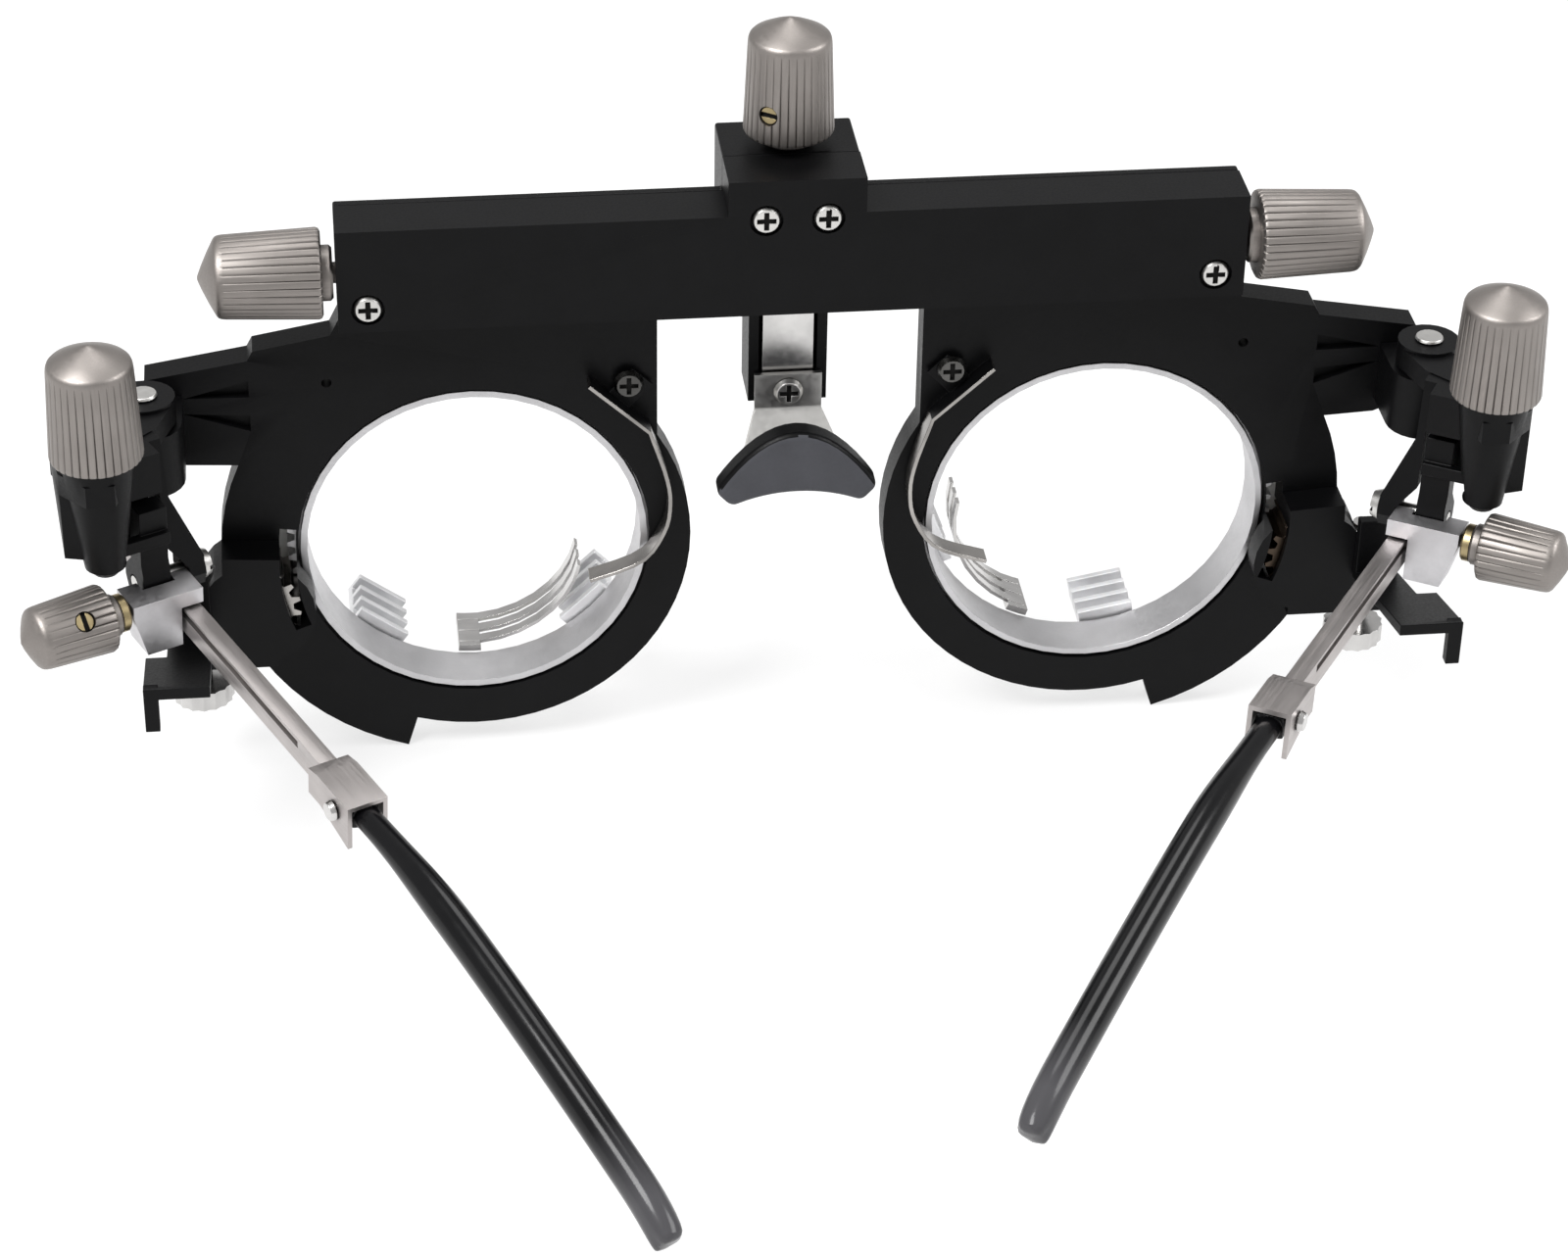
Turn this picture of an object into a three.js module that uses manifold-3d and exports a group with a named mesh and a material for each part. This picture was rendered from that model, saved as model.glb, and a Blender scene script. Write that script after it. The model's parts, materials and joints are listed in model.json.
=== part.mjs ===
// Optical trial frame: an adjustable spectacle frame that holds test lenses in front of the eyes.
// Millimetres. +X is the wearer's right hand side of the picture, +Y looks forward, +Z is up.
// The origin is the middle of the crossbar's flat rear face; the pieces are drawn about the lens centres.
import * as THREE from 'three';
import { mergeVertices } from 'three/addons/utils/BufferGeometryUtils.js';
import Module from 'manifold-3d';

const wasm = await Module();
wasm.setup();

// Clearances shared by every piece
const gap = 0.3;
const seam = 0.15;
const overrun = 1;

// Sides of round shapes, by how large they are
const wideSides = 48;
const roundSides = 24;
const plainSides = 20;
const headSides = 18;
const boreSides = 14;
const stemSides = 12;

// Crossbar that spans both eyes
const barLength = 94.6;
const barRear = -4.2;
const barFront = 3.1;
const barBottom = 28.5;
const barTop = 40.1;
const barWall = 1.2;
const coverThickness = 1.3;
const endBlockLength = 6;
const barScrewInset = 3.1;
const barScrewRise = 2.6;
const barScrewX = barLength / 2 - barScrewInset;
const barScrewZ = barBottom + barScrewRise;

// Bridge block in the middle of the crossbar
const blockWidth = 14.3;
const blockFront = 9.85;
const blockTop = 44;
const blockWall = 1.4;
const blockScrewX = 3.2;
const blockScrewZ = 39.5;

// Cross-head screws
const screwHeadRadius = 1.6;
const screwHeadHeight = 0.6;
const screwShankRadius = 0.8;
const screwSlotWidth = 0.5;
const screwSlotDepth = 0.35;
const screwCrownShare = 0.8;
const screwCrossShare = 0.62;

// Fluted knobs: all seven share one pattern
const knobBaseRadius = 4.75;
const knobTipRadius = 4.3;
const knobLength = 10.8;
const knobCone = 1.9;
const fluteDepth = 0.22;
const fluteCount = 20;
const knobCollarRadius = 2.9;
const knobCollarLength = 1.1;
const spindleRadius = 1.1;
const grubRadius = 0.95;
const grubLength = 1.5;
const grubShare = 0.32;

// Nose rest
const noseScrewY = 4.6;
const noseSpindleLength = 22;
const postHalfWidth = 4.2;
const postWall = 1.1;
const postRear = 1.9;
const postFront = 8.2;
const postTop = 36;
const postBottom = 14.8;
const postNutHeight = 3;
const postPlateHalfWidth = 2.7;
const postPlateThickness = 0.7;
const postFootHeight = 3.6;
const noseScrewZ = 16.4;
const stripThickness = 0.6;
const stripTopHalfWidth = 3.6;
const stripHalfWidth = 6.4;
const stripTopZ = 14.2;
const stripBottomZ = 10.4;
const stripBackset = 6.2;
const padHalfWidth = 8.7;
const padArchTopZ = 16.4;
const padArchLowZ = 9.2;
const padTipZ = 6.7;
const padShoulderZ = 9.6;
const padRear = -8.4;
const padTipShare = 0.8;
const padLowBendShare = 0.42;

// Lens carriers, measured from the centre of each lens
const pupilDistance = 67.6;
const plateRear = -0.2;
const skinFront = 1;
const plateFront = 3.2;
const carrierNasalRadius = 23.3;
const carrierTemporalRadius = 27;
const carrierStepAngle = -73;
const shoulderTop = barBottom - 0.4;
const tabReach = 3.6;
const tabInner = tabReach - carrierNasalRadius;
const tabOuter = -0.6;
const tabTop = 37.9;
const tabThickness = 1.6;
const shoulderOuter = 14.4;
const shoulderLow = 26.1;
const armStepX = 22.8;
const armStepTop = 24.6;
const armTop = 23.5;
const armEndTop = 21.7;
const armBottom = 11;
const nutLugLength = 6;
const nutLugRadius = 2.4;
const leadScrewY = -1.7;
const leadScrewZ = 34.3;
const alignHoleX = 15;
const alignHoleZ = 20.5;
const alignHoleRadius = 0.55;
const ribPocketDepth = 0.9;
const upperPocketShare = 3.6;
const lowerPocketTopShare = 5.4;
const lowerPocketShare = 3.4;
const knuckleWebShare = 0.6;

// Rotating lens cell with its toothed ring
const ringInner = 17.9;
const ringOuter = 18.6;
const ringDepth = 5.6;
const ringTeeth = 72;
const toothModule = 0.547;
const toothAddendumShare = 0.6;
const toothDedendumShare = 0.9;
const gearRear = 1.3;
const gearFront = 2.9;
const flangeRadius = 19.9;
const flangeRear = 4.5;
const flangeFront = 5.2;
const leftCellTurn = 0;
const rightCellTurn = -25;
const lensSlots = 3;
const lensSlotPitch = 2.2;
const clipWidth = 6.2;
const clipDepth = 2.4;
const clipThickness = 0.8;
const leafFootAngle = -84;
const leafTipAngle = -146;
const leafTipRadius = 14.3;
const leafThickness = 0.4;
const leafFootRadius = ringInner - leafThickness;
const leafWidth = 1.3;
const leafFoot = 8;
const outerClipAngle = -54;
const innerClipAngle = -134;

// Degree dial fixed on the front of each carrier
const dialRear = 3.5;
const dialFront = 4.2;
const dialInner = 19;
const dialOuter = 22.7;

// Axis drive: idler gear, worm and finger wheel
const idlerTeeth = 16;
const idlerAngle = -12.5;
const idlerRear = -3.1;
const wormX = 29.85;
const wormY = -1.6;
const wormRadius = 1.85;
const wormLength = 6;
const wormRibs = 3;
const wheelRadius = 3.3;
const wheelThickness = 2.1;
const wheelZ = -16.9;
const wheelTeeth = 16;
const humpRear = -4.2;
const humpInner = 20.9;
const humpStartAngle = 4;
const humpEndAngle = -26;
const windowStartAngle = 8;
const windowEndAngle = -21;
const windowInner = 19.1;
const windowOuter = 20.9;
const lugTop = -9.6;
const lugBottom = -12;
const lugHalfWidth = 2.7;
const lugRootShare = 0.8;
const humpSkinShare = 0.6;

// Rear leaf spring that keeps the back lens in
const springThickness = 0.4;
const springHeight = 2.4;
const springStartX = -12.3;
const springStartZ = 20.1;
const springElbowX = -18.7;
const springElbowZ = 14.2;
const springScrewX = -16.6;
const springScrewZ = 19.3;
const springRoute = [[22.2, 157], [21.5, 166], [20.3, 175], [17.8, 186], [12.8, 198]];
const springSteps = 18;
const springFootHalfShare = 0.9;
const springFootShare = 2.4;

// Sight plate for the corneal distance
const sightInner = 28.4;
const sightFlangeOuter = 33;
const sightOuter = 35.2;
const sightThickness = 1.3;
const sightTopZ = 0.6;
const sightShelfZ = -7.2;
const sightWideY = -14;
const sightEndY = -24.5;
const sightEndZ = -0.7;
const sightBladeDrop = 5.2;
const sightBladeWidth = 1.5;

// Temple hinge on the end of each carrier arm
const hingeX = 33.8;
const hingeY = -5.5;
const hingePinRadius = 1.1;
const pinHeadShare = 1.4;
const hingeTop = 22.9;
const hingeEarHeight = 2.9;
const hingeEarRadius = 3.3;
const knuckleTop = hingeTop - hingeEarHeight - gap;
const knuckleBottom = 12.8;
const knuckleRadius = 3.8;
const leftFold = 26.5;
const rightFold = 30.5;
const leftTilt = -4;
const rightTilt = 6;
const leftReach = -2;
const rightReach = 4.5;

// Temple bracket, in the hinge's own frame with the temple straight back
const postX = 10;
const postY = -10.3;
const postTopZ = 24;
const postRadiusTop = 3.8;
const postRadiusBottom = 2.1;
const postBottomZ = 10.5;
const postNoseZ = 11.3;
const postEndShare = 0.6;
const bracketTop = 22.5;
const bracketCap = 2.4;
const bracketWallLow = 12.6;
const bracketWall = 1.3;
const bracketFrontY = -1.2;
const bracketOuterX = 11.3;
const bracketInnerWallY = -4.6;
const bracketInnerX = 3.2;
const tiltScrewRadius = 1;
const tiltScrewLength = 10.6;
const cheekInner = -1;
const cheekThickness = 1.8;
const cheekKneeZ = 8.8;
const cheekTopZ = 16;
const cheekWideZ = 10.5;
const cheekTopX = 1.9;
const tongueRoofZ = 17.7;
const tongueWebRear = -6.4;
const tongueWebFront = -5.2;
const wallTaperZ = 12.5;
const wallTaperY = -9.1;
const pivotY = -8.4;
const pivotZ = 6.8;
const pivotRadius = 0.8;
const pivotHeadRadius = 1.7;
const pivotHeadHeight = 0.9;
const pivotLobe = 2.1;

// Tilting arm that hangs between the cheek and the post
const armInner = 3.1;
const armOuter = 6.2;
const armFrontY = -7.8;
const armRearY = -10.2;
const armTopZ = 16.4;
const fingerZ = 13;
const armTailY = -10.6;
const armTailZ = 3;
const fingerHalfWidth = 0.6;
const fingerSwing = 0.95;
const fingerLift = 0.7;
const fingerHeight = 1.4;
const fingerTravel = 1.3;

// Silver temple block that hangs from the tilting arm
const blockInnerX = 0.9;
const blockOuterX = 8.7;
const blockFrontY = -9.5;
const blockRearY = -13.4;
const blockBottomZ = 1.2;
const blockTopZ = 7.6;
const blockBodyX = 3.35;
const blockChamfer = 1.4;

// Temple bar, its guide groove and the length knob
const railWidth = 1.9;
const railHeight = 3;
const railX = 2.1;
const railZ = 4;
const railFrontY = 0.5;
const grooveHeight = 0.8;
const grooveDepth = 0.8;
const grooveDrop = 0.35;
const grooveRearY = -40;
const pinionRadius = 0.7;
const lengthKnobY = -11.8;
const lengthKnobZ = 6.35;
const lengthKnobX = 9.9;
const lengthKnobSize = 0.76;
const lengthKnobShare = 0.74;
const sleeveRadius = 2;
const yokeY = -46.5;
const yokeLength = 6.2;
const yokeCheek = 0.5;
const yokeTopZ = 5.9;
const yokeTipZ = 1;

// Ear hooks
const hookPivotY = -49.9;
const hookHeadRadius = 1.1;
const hookWidth = 2.8;
const hookRoot = 2.3;
const hookHeight = 3.3;
const hookLength = 58;
const leftHookLean = 0.8;
const rightHookLean = 3;
const hookSides = 12;
const hookSteps = 14;
const hookStartDrop = 3;
const hookMiddleDrop = 11;
const hookEndDrop = 18;
const hookTipShare = 0.88;
const hookTipTurn = 14;
const leftHookTurn = -3;
const rightHookTurn = 3;

// Finishes
const finish = (color, roughness, metalness) =>
  new THREE.MeshStandardMaterial({ color, roughness, metalness });
const blackPlastic = finish(0x1d1d1e, 0.5, 0);
const knobAluminium = finish(0xa8a09a, 0.38, 1);
const polishedSteel = finish(0xc9c7c6, 0.22, 1);
const brushedSteel = finish(0xb5b1ad, 0.34, 1);
const cellAluminium = finish(0xd2d2d2, 0.42, 1);
const brass = finish(0xb8a463, 0.3, 1);
const dialWhite = finish(0xe4e4e0, 0.6, 0);
const padRubber = finish(0x3d3d42, 0.8, 0);
const hookGloss = finish(0x101010, 0.15, 0);

// Small tools for building solids
const degrees = (angle) => THREE.MathUtils.degToRad(angle);
const onCircle = (radius, angle) => [radius * Math.cos(degrees(angle)), radius * Math.sin(degrees(angle))];

function closedMesh(geometry) {
  const plain = geometry.clone();
  plain.deleteAttribute('normal');
  plain.deleteAttribute('uv');
  return mergeVertices(plain);
}

function signedVolume(positions, index) {
  const corner = (i) => new THREE.Vector3().fromBufferAttribute(positions, index.getX(i));
  let volume = 0;
  for (let i = 0; i < index.count; i += 3) {
    volume += corner(i).dot(corner(i + 1).cross(corner(i + 2)));
  }
  return volume;
}

// A three.js geometry becomes a solid whose faces point out
function solid(geometry) {
  const merged = closedMesh(geometry);
  const positions = merged.getAttribute('position');
  const index = merged.getIndex();
  const outward = signedVolume(positions, index) > 0;
  const triVerts = new Uint32Array(index.count);
  for (let i = 0; i < index.count; i += 3) {
    triVerts[i] = index.getX(i);
    triVerts[i + 1] = index.getX(outward ? i + 1 : i + 2);
    triVerts[i + 2] = index.getX(outward ? i + 2 : i + 1);
  }
  const vertProperties = new Float32Array(positions.array);
  return new wasm.Manifold(new wasm.Mesh({ numProp: 3, vertProperties, triVerts }));
}

function geometryOf(manifold) {
  const mesh = manifold.getMesh();
  const geometry = new THREE.BufferGeometry();
  geometry.setAttribute('position', new THREE.BufferAttribute(mesh.vertProperties, mesh.numProp));
  geometry.setIndex(new THREE.BufferAttribute(mesh.triVerts, 1));
  return geometry;
}

const join = (...pieces) => pieces.reduce((whole, piece) => whole.add(piece));
const cut = (body, ...tools) => tools.reduce((rest, tool) => rest.subtract(tool), body);

// A box between two corners
function block(x, y, z) {
  const geometry = new THREE.BoxGeometry(x[1] - x[0], y[1] - y[0], z[1] - z[0]);
  geometry.translate((x[0] + x[1]) / 2, (y[0] + y[1]) / 2, (z[0] + z[1]) / 2);
  return solid(geometry);
}

// A cylinder or cone between two points
function rod(from, to, radiusFrom, radiusTo = radiusFrom, sides = plainSides) {
  const start = new THREE.Vector3(...from);
  const end = new THREE.Vector3(...to);
  const length = start.distanceTo(end);
  const geometry = new THREE.CylinderGeometry(radiusTo, radiusFrom, length, sides);
  geometry.translate(0, length / 2, 0);
  const along = end.clone().sub(start).normalize();
  geometry.applyQuaternion(new THREE.Quaternion().setFromUnitVectors(new THREE.Vector3(0, 1, 0), along));
  geometry.translate(start.x, start.y, start.z);
  return solid(geometry);
}

// Straight cylinders along one axis
const rodX = (x, y, z, radius, sides) => rod([x[0], y, z], [x[1], y, z], radius, radius, sides);
const rodY = (x, y, z, radius, sides) => rod([x, y[0], z], [x, y[1], z], radius, radius, sides);
const rodZ = (x, y, z, radius, sides) => rod([x, y, z[0]], [x, y, z[1]], radius, radius, sides);

function outline(points) {
  return new THREE.Shape(points.map(([u, v]) => new THREE.Vector2(u, v)));
}

// A flat outline in X and Z, thick along Y
function slab(shape, y, curveSegments = wideSides) {
  const depth = y[1] - y[0];
  const geometry = new THREE.ExtrudeGeometry(shape, { depth, bevelEnabled: false, curveSegments });
  geometry.rotateX(Math.PI / 2);
  geometry.translate(0, y[1], 0);
  return solid(geometry);
}

// A flat outline in Y and Z, thick along X
function sideSlab(shape, x) {
  const depth = x[1] - x[0];
  const geometry = new THREE.ExtrudeGeometry(shape, { depth, bevelEnabled: false, curveSegments: 10 });
  const axes = [new THREE.Vector3(0, 1, 0), new THREE.Vector3(0, 0, 1), new THREE.Vector3(1, 0, 0)];
  geometry.applyMatrix4(new THREE.Matrix4().makeBasis(...axes));
  geometry.translate(x[0], 0, 0);
  return solid(geometry);
}

// A ring or disc about Y, from pairs of radius and Y
function turned(profile, segments) {
  const points = profile.map(([radius, y]) => new THREE.Vector2(radius, y));
  return solid(new THREE.LatheGeometry(points, segments));
}

function tube(inner, outer, y, segments) {
  return turned([[inner, y[0]], [outer, y[0]], [outer, y[1]], [inner, y[1]], [inner, y[0]]], segments);
}

// An annular sector in X and Z
function sector(inner, outer, startAngle, endAngle, steps) {
  const points = [];
  for (let i = 0; i <= steps; i += 1) {
    points.push(onCircle(outer, startAngle + ((endAngle - startAngle) * i) / steps));
  }
  for (let i = steps; i >= 0; i -= 1) {
    points.push(onCircle(inner, startAngle + ((endAngle - startAngle) * i) / steps));
  }
  return outline(points);
}

// A gear outline with straight-sided teeth, its first tooth or gap turned by a phase
function gearOutline(teeth, phase, addendumShare = toothAddendumShare) {
  const pitchRadius = (teeth * toothModule) / 2;
  const tip = pitchRadius + toothModule * addendumShare;
  const root = pitchRadius - toothModule * toothDedendumShare;
  const step = 360 / teeth;
  const tipHalfShare = 0.13;
  const rootHalfShare = 0.29;
  const points = [];
  for (let i = 0; i < teeth; i += 1) {
    const middle = phase + step * i;
    points.push(onCircle(root, middle - step * rootHalfShare));
    points.push(onCircle(tip, middle - step * tipHalfShare));
    points.push(onCircle(tip, middle + step * tipHalfShare));
    points.push(onCircle(root, middle + step * rootHalfShare));
  }
  return outline(points);
}

// A mesh with its name and finish; the left side is the right side's mirror image
function part(name, shape, material) {
  const mesh = new THREE.Mesh(geometryOf(shape), material);
  mesh.name = name;
  return mesh;
}

const sided = (side, shape) => (side > 0 ? shape : shape.mirror([1, 0, 0]));
const sideName = (side) => (side > 0 ? 'right' : 'left');
const sidePart = (side, name, shape, material) =>
  part(`${sideName(side)}_${name}`, sided(side, shape), material);

// The fluted knob stands on its collar at the origin and points along +Z
function knobBody(size, lengthShare) {
  const flutes = [];
  for (let i = 0; i < fluteCount * 2; i += 1) {
    const share = i % 2 === 0 ? 1 : 1 - fluteDepth / knobBaseRadius;
    flutes.push(onCircle(knobBaseRadius * size * share, (180 / fluteCount) * i));
  }
  const length = knobLength * lengthShare;
  const geometry = new THREE.ExtrudeGeometry(outline(flutes), { depth: length, bevelEnabled: false });
  const positions = geometry.getAttribute('position');
  for (let i = 0; i < positions.count; i += 1) {
    const share = 1 + ((knobTipRadius / knobBaseRadius - 1) * positions.getZ(i)) / length;
    positions.setX(i, positions.getX(i) * share);
    positions.setY(i, positions.getY(i) * share);
  }
  const capRadius = knobTipRadius * size - fluteDepth;
  const base = rodZ(0, 0, [0, knobCollarLength + seam], knobCollarRadius * size);
  const body = solid(geometry).translate([0, 0, knobCollarLength]);
  const capZ = knobCollarLength + length;
  const cap = rod([0, 0, capZ - seam], [0, 0, capZ + knobCone * size], capRadius, 0, fluteCount);
  return join(base, body, cap);
}

// A knob with its threaded spindle, and the pocket for a grub screw when it has one
function knobWithSpindle(spindle, radius, pocket, size = 1, lengthShare = 1) {
  const whole = join(knobBody(size, lengthShare), rodZ(0, 0, [-spindle, seam], radius, boreSides));
  return pocket ? cut(whole, pocket) : whole;
}

const grubZ = knobCollarLength + knobLength * grubShare;
const grubTop = (size) => knobBaseRadius * size - fluteDepth - seam;

// The grub screw sits across the knob, its slotted end just under the flutes
function grub(turn, radius, clearance, size) {
  const grubTopRadius = grubTop(size);
  const [innerX, innerY] = onCircle(grubTopRadius - grubLength - clearance, turn);
  const reach = clearance > 0 ? knobBaseRadius + overrun : grubTopRadius;
  const [outerX, outerY] = onCircle(reach, turn);
  return rod([innerX, innerY, grubZ], [outerX, outerY, grubZ], radius, radius, boreSides);
}

function grubScrew(turn, size = 1) {
  const [slotX, slotY] = onCircle(grubTop(size), turn);
  const slot = block(
    [-screwSlotDepth, screwSlotDepth],
    [-grubRadius - overrun, grubRadius + overrun],
    [-screwSlotWidth / 2, screwSlotWidth / 2],
  ).rotate([0, 0, turn]).translate([slotX, slotY, grubZ]);
  return cut(grub(turn, grubRadius, 0, size), slot);
}

const grubPocket = (turn, size = 1) => grub(turn, grubRadius + gap / 2, gap / 2, size);

// A cross-head screw whose head faces along -Y
function crossHeadScrew(shank) {
  const crown = screwHeadRadius * screwCrownShare;
  const head = rod([0, 0, 0], [0, -screwHeadHeight, 0], screwHeadRadius, crown, headSides);
  const stem = rodY(0, [-seam, shank], 0, screwShankRadius, stemSides);
  const reach = screwHeadRadius * screwCrossShare;
  const half = screwSlotWidth / 2;
  const depth = [-screwHeadHeight - overrun, screwSlotDepth - screwHeadHeight];
  const across = block([-reach, reach], depth, [-half, half]);
  const upright = block([-half, half], depth, [-reach, reach]);
  return cut(join(head, stem), across, upright);
}

function screwRecess(x, y, z, shank) {
  const seat = rodY(x, [y - overrun, y], z, screwHeadRadius + gap / 2, headSides);
  const bore = rodY(x, [y - overrun, y + shank + gap], z, screwShankRadius + gap / 2);
  return join(seat, bore);
}

// Crossbar housing: rear wall, top, end blocks and the rear half of the bridge block
const screwSink = screwHeadHeight;
const screwShank = 5;
const screwSeatY = barRear + screwSink;

function barScrewRecesses() {
  const spots = [
    [barScrewX, barScrewZ],
    [-barScrewX, barScrewZ],
    [blockScrewX, blockScrewZ],
    [-blockScrewX, blockScrewZ],
  ];
  return join(...spots.map(([x, z]) => screwRecess(x, screwSeatY, z, screwShank)));
}

function crossbarHousing() {
  const half = barLength / 2;
  const coverRear = barFront - coverThickness;
  const shell = block([-half, half], [barRear, coverRear], [barBottom, barTop]);
  const hollow = block(
    [endBlockLength - half, half - endBlockLength],
    [barRear + barWall, coverRear + overrun],
    [barBottom - overrun, barTop - barWall],
  );
  const bridge = block([-blockWidth / 2, blockWidth / 2], [barRear, coverRear], [barBottom, blockTop]);
  const postWay = block(
    [-postHalfWidth - gap, postHalfWidth + gap],
    [postRear - gap, coverRear + overrun],
    [barBottom - overrun, blockTop - blockWall],
  );
  const ends = [-half - overrun, half + overrun];
  const spindleWay = rodX(ends, leadScrewY, leadScrewZ, spindleRadius + gap, boreSides);
  const bridgeCore = block(
    [-blockWidth / 2 + barWall, blockWidth / 2 - barWall],
    [barRear + barWall, postRear],
    [barBottom - overrun, barTop - barWall - screwHeadRadius * 2],
  );
  const body = join(cut(shell, hollow), bridge);
  return cut(body, postWay, spindleWay, bridgeCore, barScrewRecesses());
}

// Front cover with the front half of the bridge block
function crossbarFront() {
  const half = barLength / 2;
  const coverRear = barFront - coverThickness + seam;
  const plate = block([-half, half], [coverRear, barFront], [barBottom, barTop]);
  const bridge = block([-blockWidth / 2, blockWidth / 2], [coverRear, blockFront], [barBottom, blockTop]);
  const postWay = block(
    [-postHalfWidth - gap, postHalfWidth + gap],
    [coverRear - overrun, postFront + gap],
    [barBottom - overrun, blockTop - blockWall],
  );
  const knobWay = rodZ(0, noseScrewY, [barTop, blockTop + overrun], spindleRadius + gap);
  return cut(join(plate, bridge), postWay, knobWay);
}

// Nose post: a channel with a nut block at its top and a foot for the pad bracket
function nosePost() {
  const outer = block([-postHalfWidth, postHalfWidth], [postRear, postFront], [postBottom, postTop]);
  const channel = block(
    [postWall - postHalfWidth, postHalfWidth - postWall],
    [postRear - overrun, postFront - postWall],
    [postBottom + postFootHeight, postTop - postNutHeight],
  );
  const bore = rodZ(0, noseScrewY, [postBottom + postFootHeight, postTop + overrun], spindleRadius + gap);
  const plateWay = block(
    [-postPlateHalfWidth - gap, postPlateHalfWidth + gap],
    [postRear - overrun, postRear + postPlateThickness + gap],
    [noseScrewZ - screwHeadRadius - gap, postTop + overrun],
  );
  const screwWay = rodY(0, [postRear, postFront - postWall], noseScrewZ, screwShankRadius + gap / 2);
  return cut(outer, channel, bore, plateWay, screwWay);
}

function nosePostPlate() {
  const plate = block(
    [-postPlateHalfWidth, postPlateHalfWidth],
    [postRear, postRear + postPlateThickness],
    [noseScrewZ - screwHeadRadius, postTop - gap],
  );
  return cut(plate, rodY(0, [postRear - overrun, postFront], noseScrewZ, screwShankRadius + gap / 2));
}

// Bent strip under the post: it runs down and back to the pad
function nosePadStrip() {
  const top = [postRear - gap - screwHeadHeight, stripTopZ];
  const bottom = [postRear - stripBackset, stripBottomZ];
  const side = outline([
    [postRear - gap, noseScrewZ - screwHeadRadius - gap],
    [top[0] + stripThickness - seam, top[1]],
    [bottom[0], bottom[1]],
    [bottom[0] - stripThickness, bottom[1]],
    [top[0] - seam, top[1]],
    [postRear - gap - stripThickness, noseScrewZ - screwHeadRadius - gap],
  ]);
  const wide = sideSlab(side, [-stripHalfWidth, stripHalfWidth]);
  const trim = outline([
    [-stripTopHalfWidth, noseScrewZ],
    [stripTopHalfWidth, noseScrewZ],
    [stripTopHalfWidth, stripTopZ],
    [stripHalfWidth, stripBottomZ - overrun],
    [-stripHalfWidth, stripBottomZ - overrun],
    [-stripTopHalfWidth, stripTopZ],
  ]);
  const deep = [postRear - stripBackset - overrun - stripThickness, postRear + overrun];
  const face = wide.intersect(slab(trim, deep));
  const lug = block(
    [-stripTopHalfWidth, stripTopHalfWidth],
    [postRear - gap - stripThickness, postRear - gap],
    [noseScrewZ - screwHeadRadius - gap, postBottom + postFootHeight],
  );
  const hole = rodY(0, [-stripBackset, postRear + overrun], noseScrewZ, screwShankRadius + gap / 2);
  return cut(join(face, lug), hole);
}

// The pad is a saddle that arches over the bridge of the nose
function nosePad() {
  const shape = new THREE.Shape();
  const lowX = padHalfWidth * padLowBendShare;
  const tipX = padHalfWidth * padTipShare;
  const tipZ = padTipZ + overrun;
  shape.moveTo(-padHalfWidth, padShoulderZ);
  shape.quadraticCurveTo(-padHalfWidth / 2, padArchTopZ, 0, padArchTopZ);
  shape.quadraticCurveTo(padHalfWidth / 2, padArchTopZ, padHalfWidth, padShoulderZ);
  shape.lineTo(tipX, tipZ);
  shape.quadraticCurveTo(lowX, padArchLowZ, 0, padArchLowZ);
  shape.quadraticCurveTo(-lowX, padArchLowZ, -tipX, tipZ);
  return slab(shape, [padRear, postRear - stripBackset - stripThickness - gap], 8);
}

// Outline of one carrier, lens centre at the origin, temple side along +X
function carrierOutline() {
  const arcPoints = (radius, from, to, steps) => {
    const points = [];
    for (let i = 0; i <= steps; i += 1) {
      points.push(onCircle(radius, from + ((to - from) * i) / steps));
    }
    return points;
  };
  const armRootAngle = THREE.MathUtils.radToDeg(Math.asin(armBottom / carrierTemporalRadius));
  const tabAngle = 180 - THREE.MathUtils.radToDeg(Math.acos(-tabInner / carrierNasalRadius));
  return outline([
    [tabInner, shoulderTop],
    [tabInner, carrierNasalRadius * Math.sin(degrees(tabAngle)) + gap],
    ...arcPoints(carrierNasalRadius, tabAngle, 360 + carrierStepAngle, 26),
    ...arcPoints(carrierTemporalRadius, carrierStepAngle, armRootAngle, 18),
    [hingeX - knuckleRadius, armBottom + gap],
    [hingeX, knuckleBottom],
    [hingeX, armEndTop],
    [armStepX + gap, armTop],
    [armStepX - gap, armStepTop],
    [shoulderOuter, shoulderLow],
    [shoulderOuter - overrun, shoulderTop],
  ]);
}

const idlerPitch = (idlerTeeth * toothModule) / 2;
const ringPitch = (ringTeeth * toothModule) / 2;
const idlerCentre = onCircle(ringPitch + idlerPitch, idlerAngle);
const idlerTip = idlerPitch + toothModule * toothAddendumShare;
const ringTip = ringPitch + toothModule * toothAddendumShare;

// Slide tab that reaches up into the crossbar, with the lead screw's nut
function carrierTab() {
  const tab = block(
    [tabInner + tabThickness, tabOuter],
    [plateRear, plateRear + tabThickness],
    [armTop, tabTop],
  );
  const nutX = [tabInner + tabThickness, tabInner + tabThickness + nutLugLength];
  const nut = rodX(nutX, leadScrewY, leadScrewZ, nutLugRadius - seam);
  const room = block(
    [tabInner, 0],
    [barRear + barWall + seam, barFront - coverThickness - gap],
    [barBottom, barTop],
  );
  return join(tab, nut.intersect(room));
}

// Knuckle for the temple's hinge pin
function carrierKnuckle() {
  const round = rodZ(hingeX, hingeY, [knuckleBottom, knuckleTop], knuckleRadius, roundSides);
  const web = block(
    [hingeX - knuckleRadius, hingeX + knuckleRadius * knuckleWebShare],
    [hingeY, plateFront],
    [knuckleBottom, knuckleTop],
  );
  return join(round, web);
}

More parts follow.
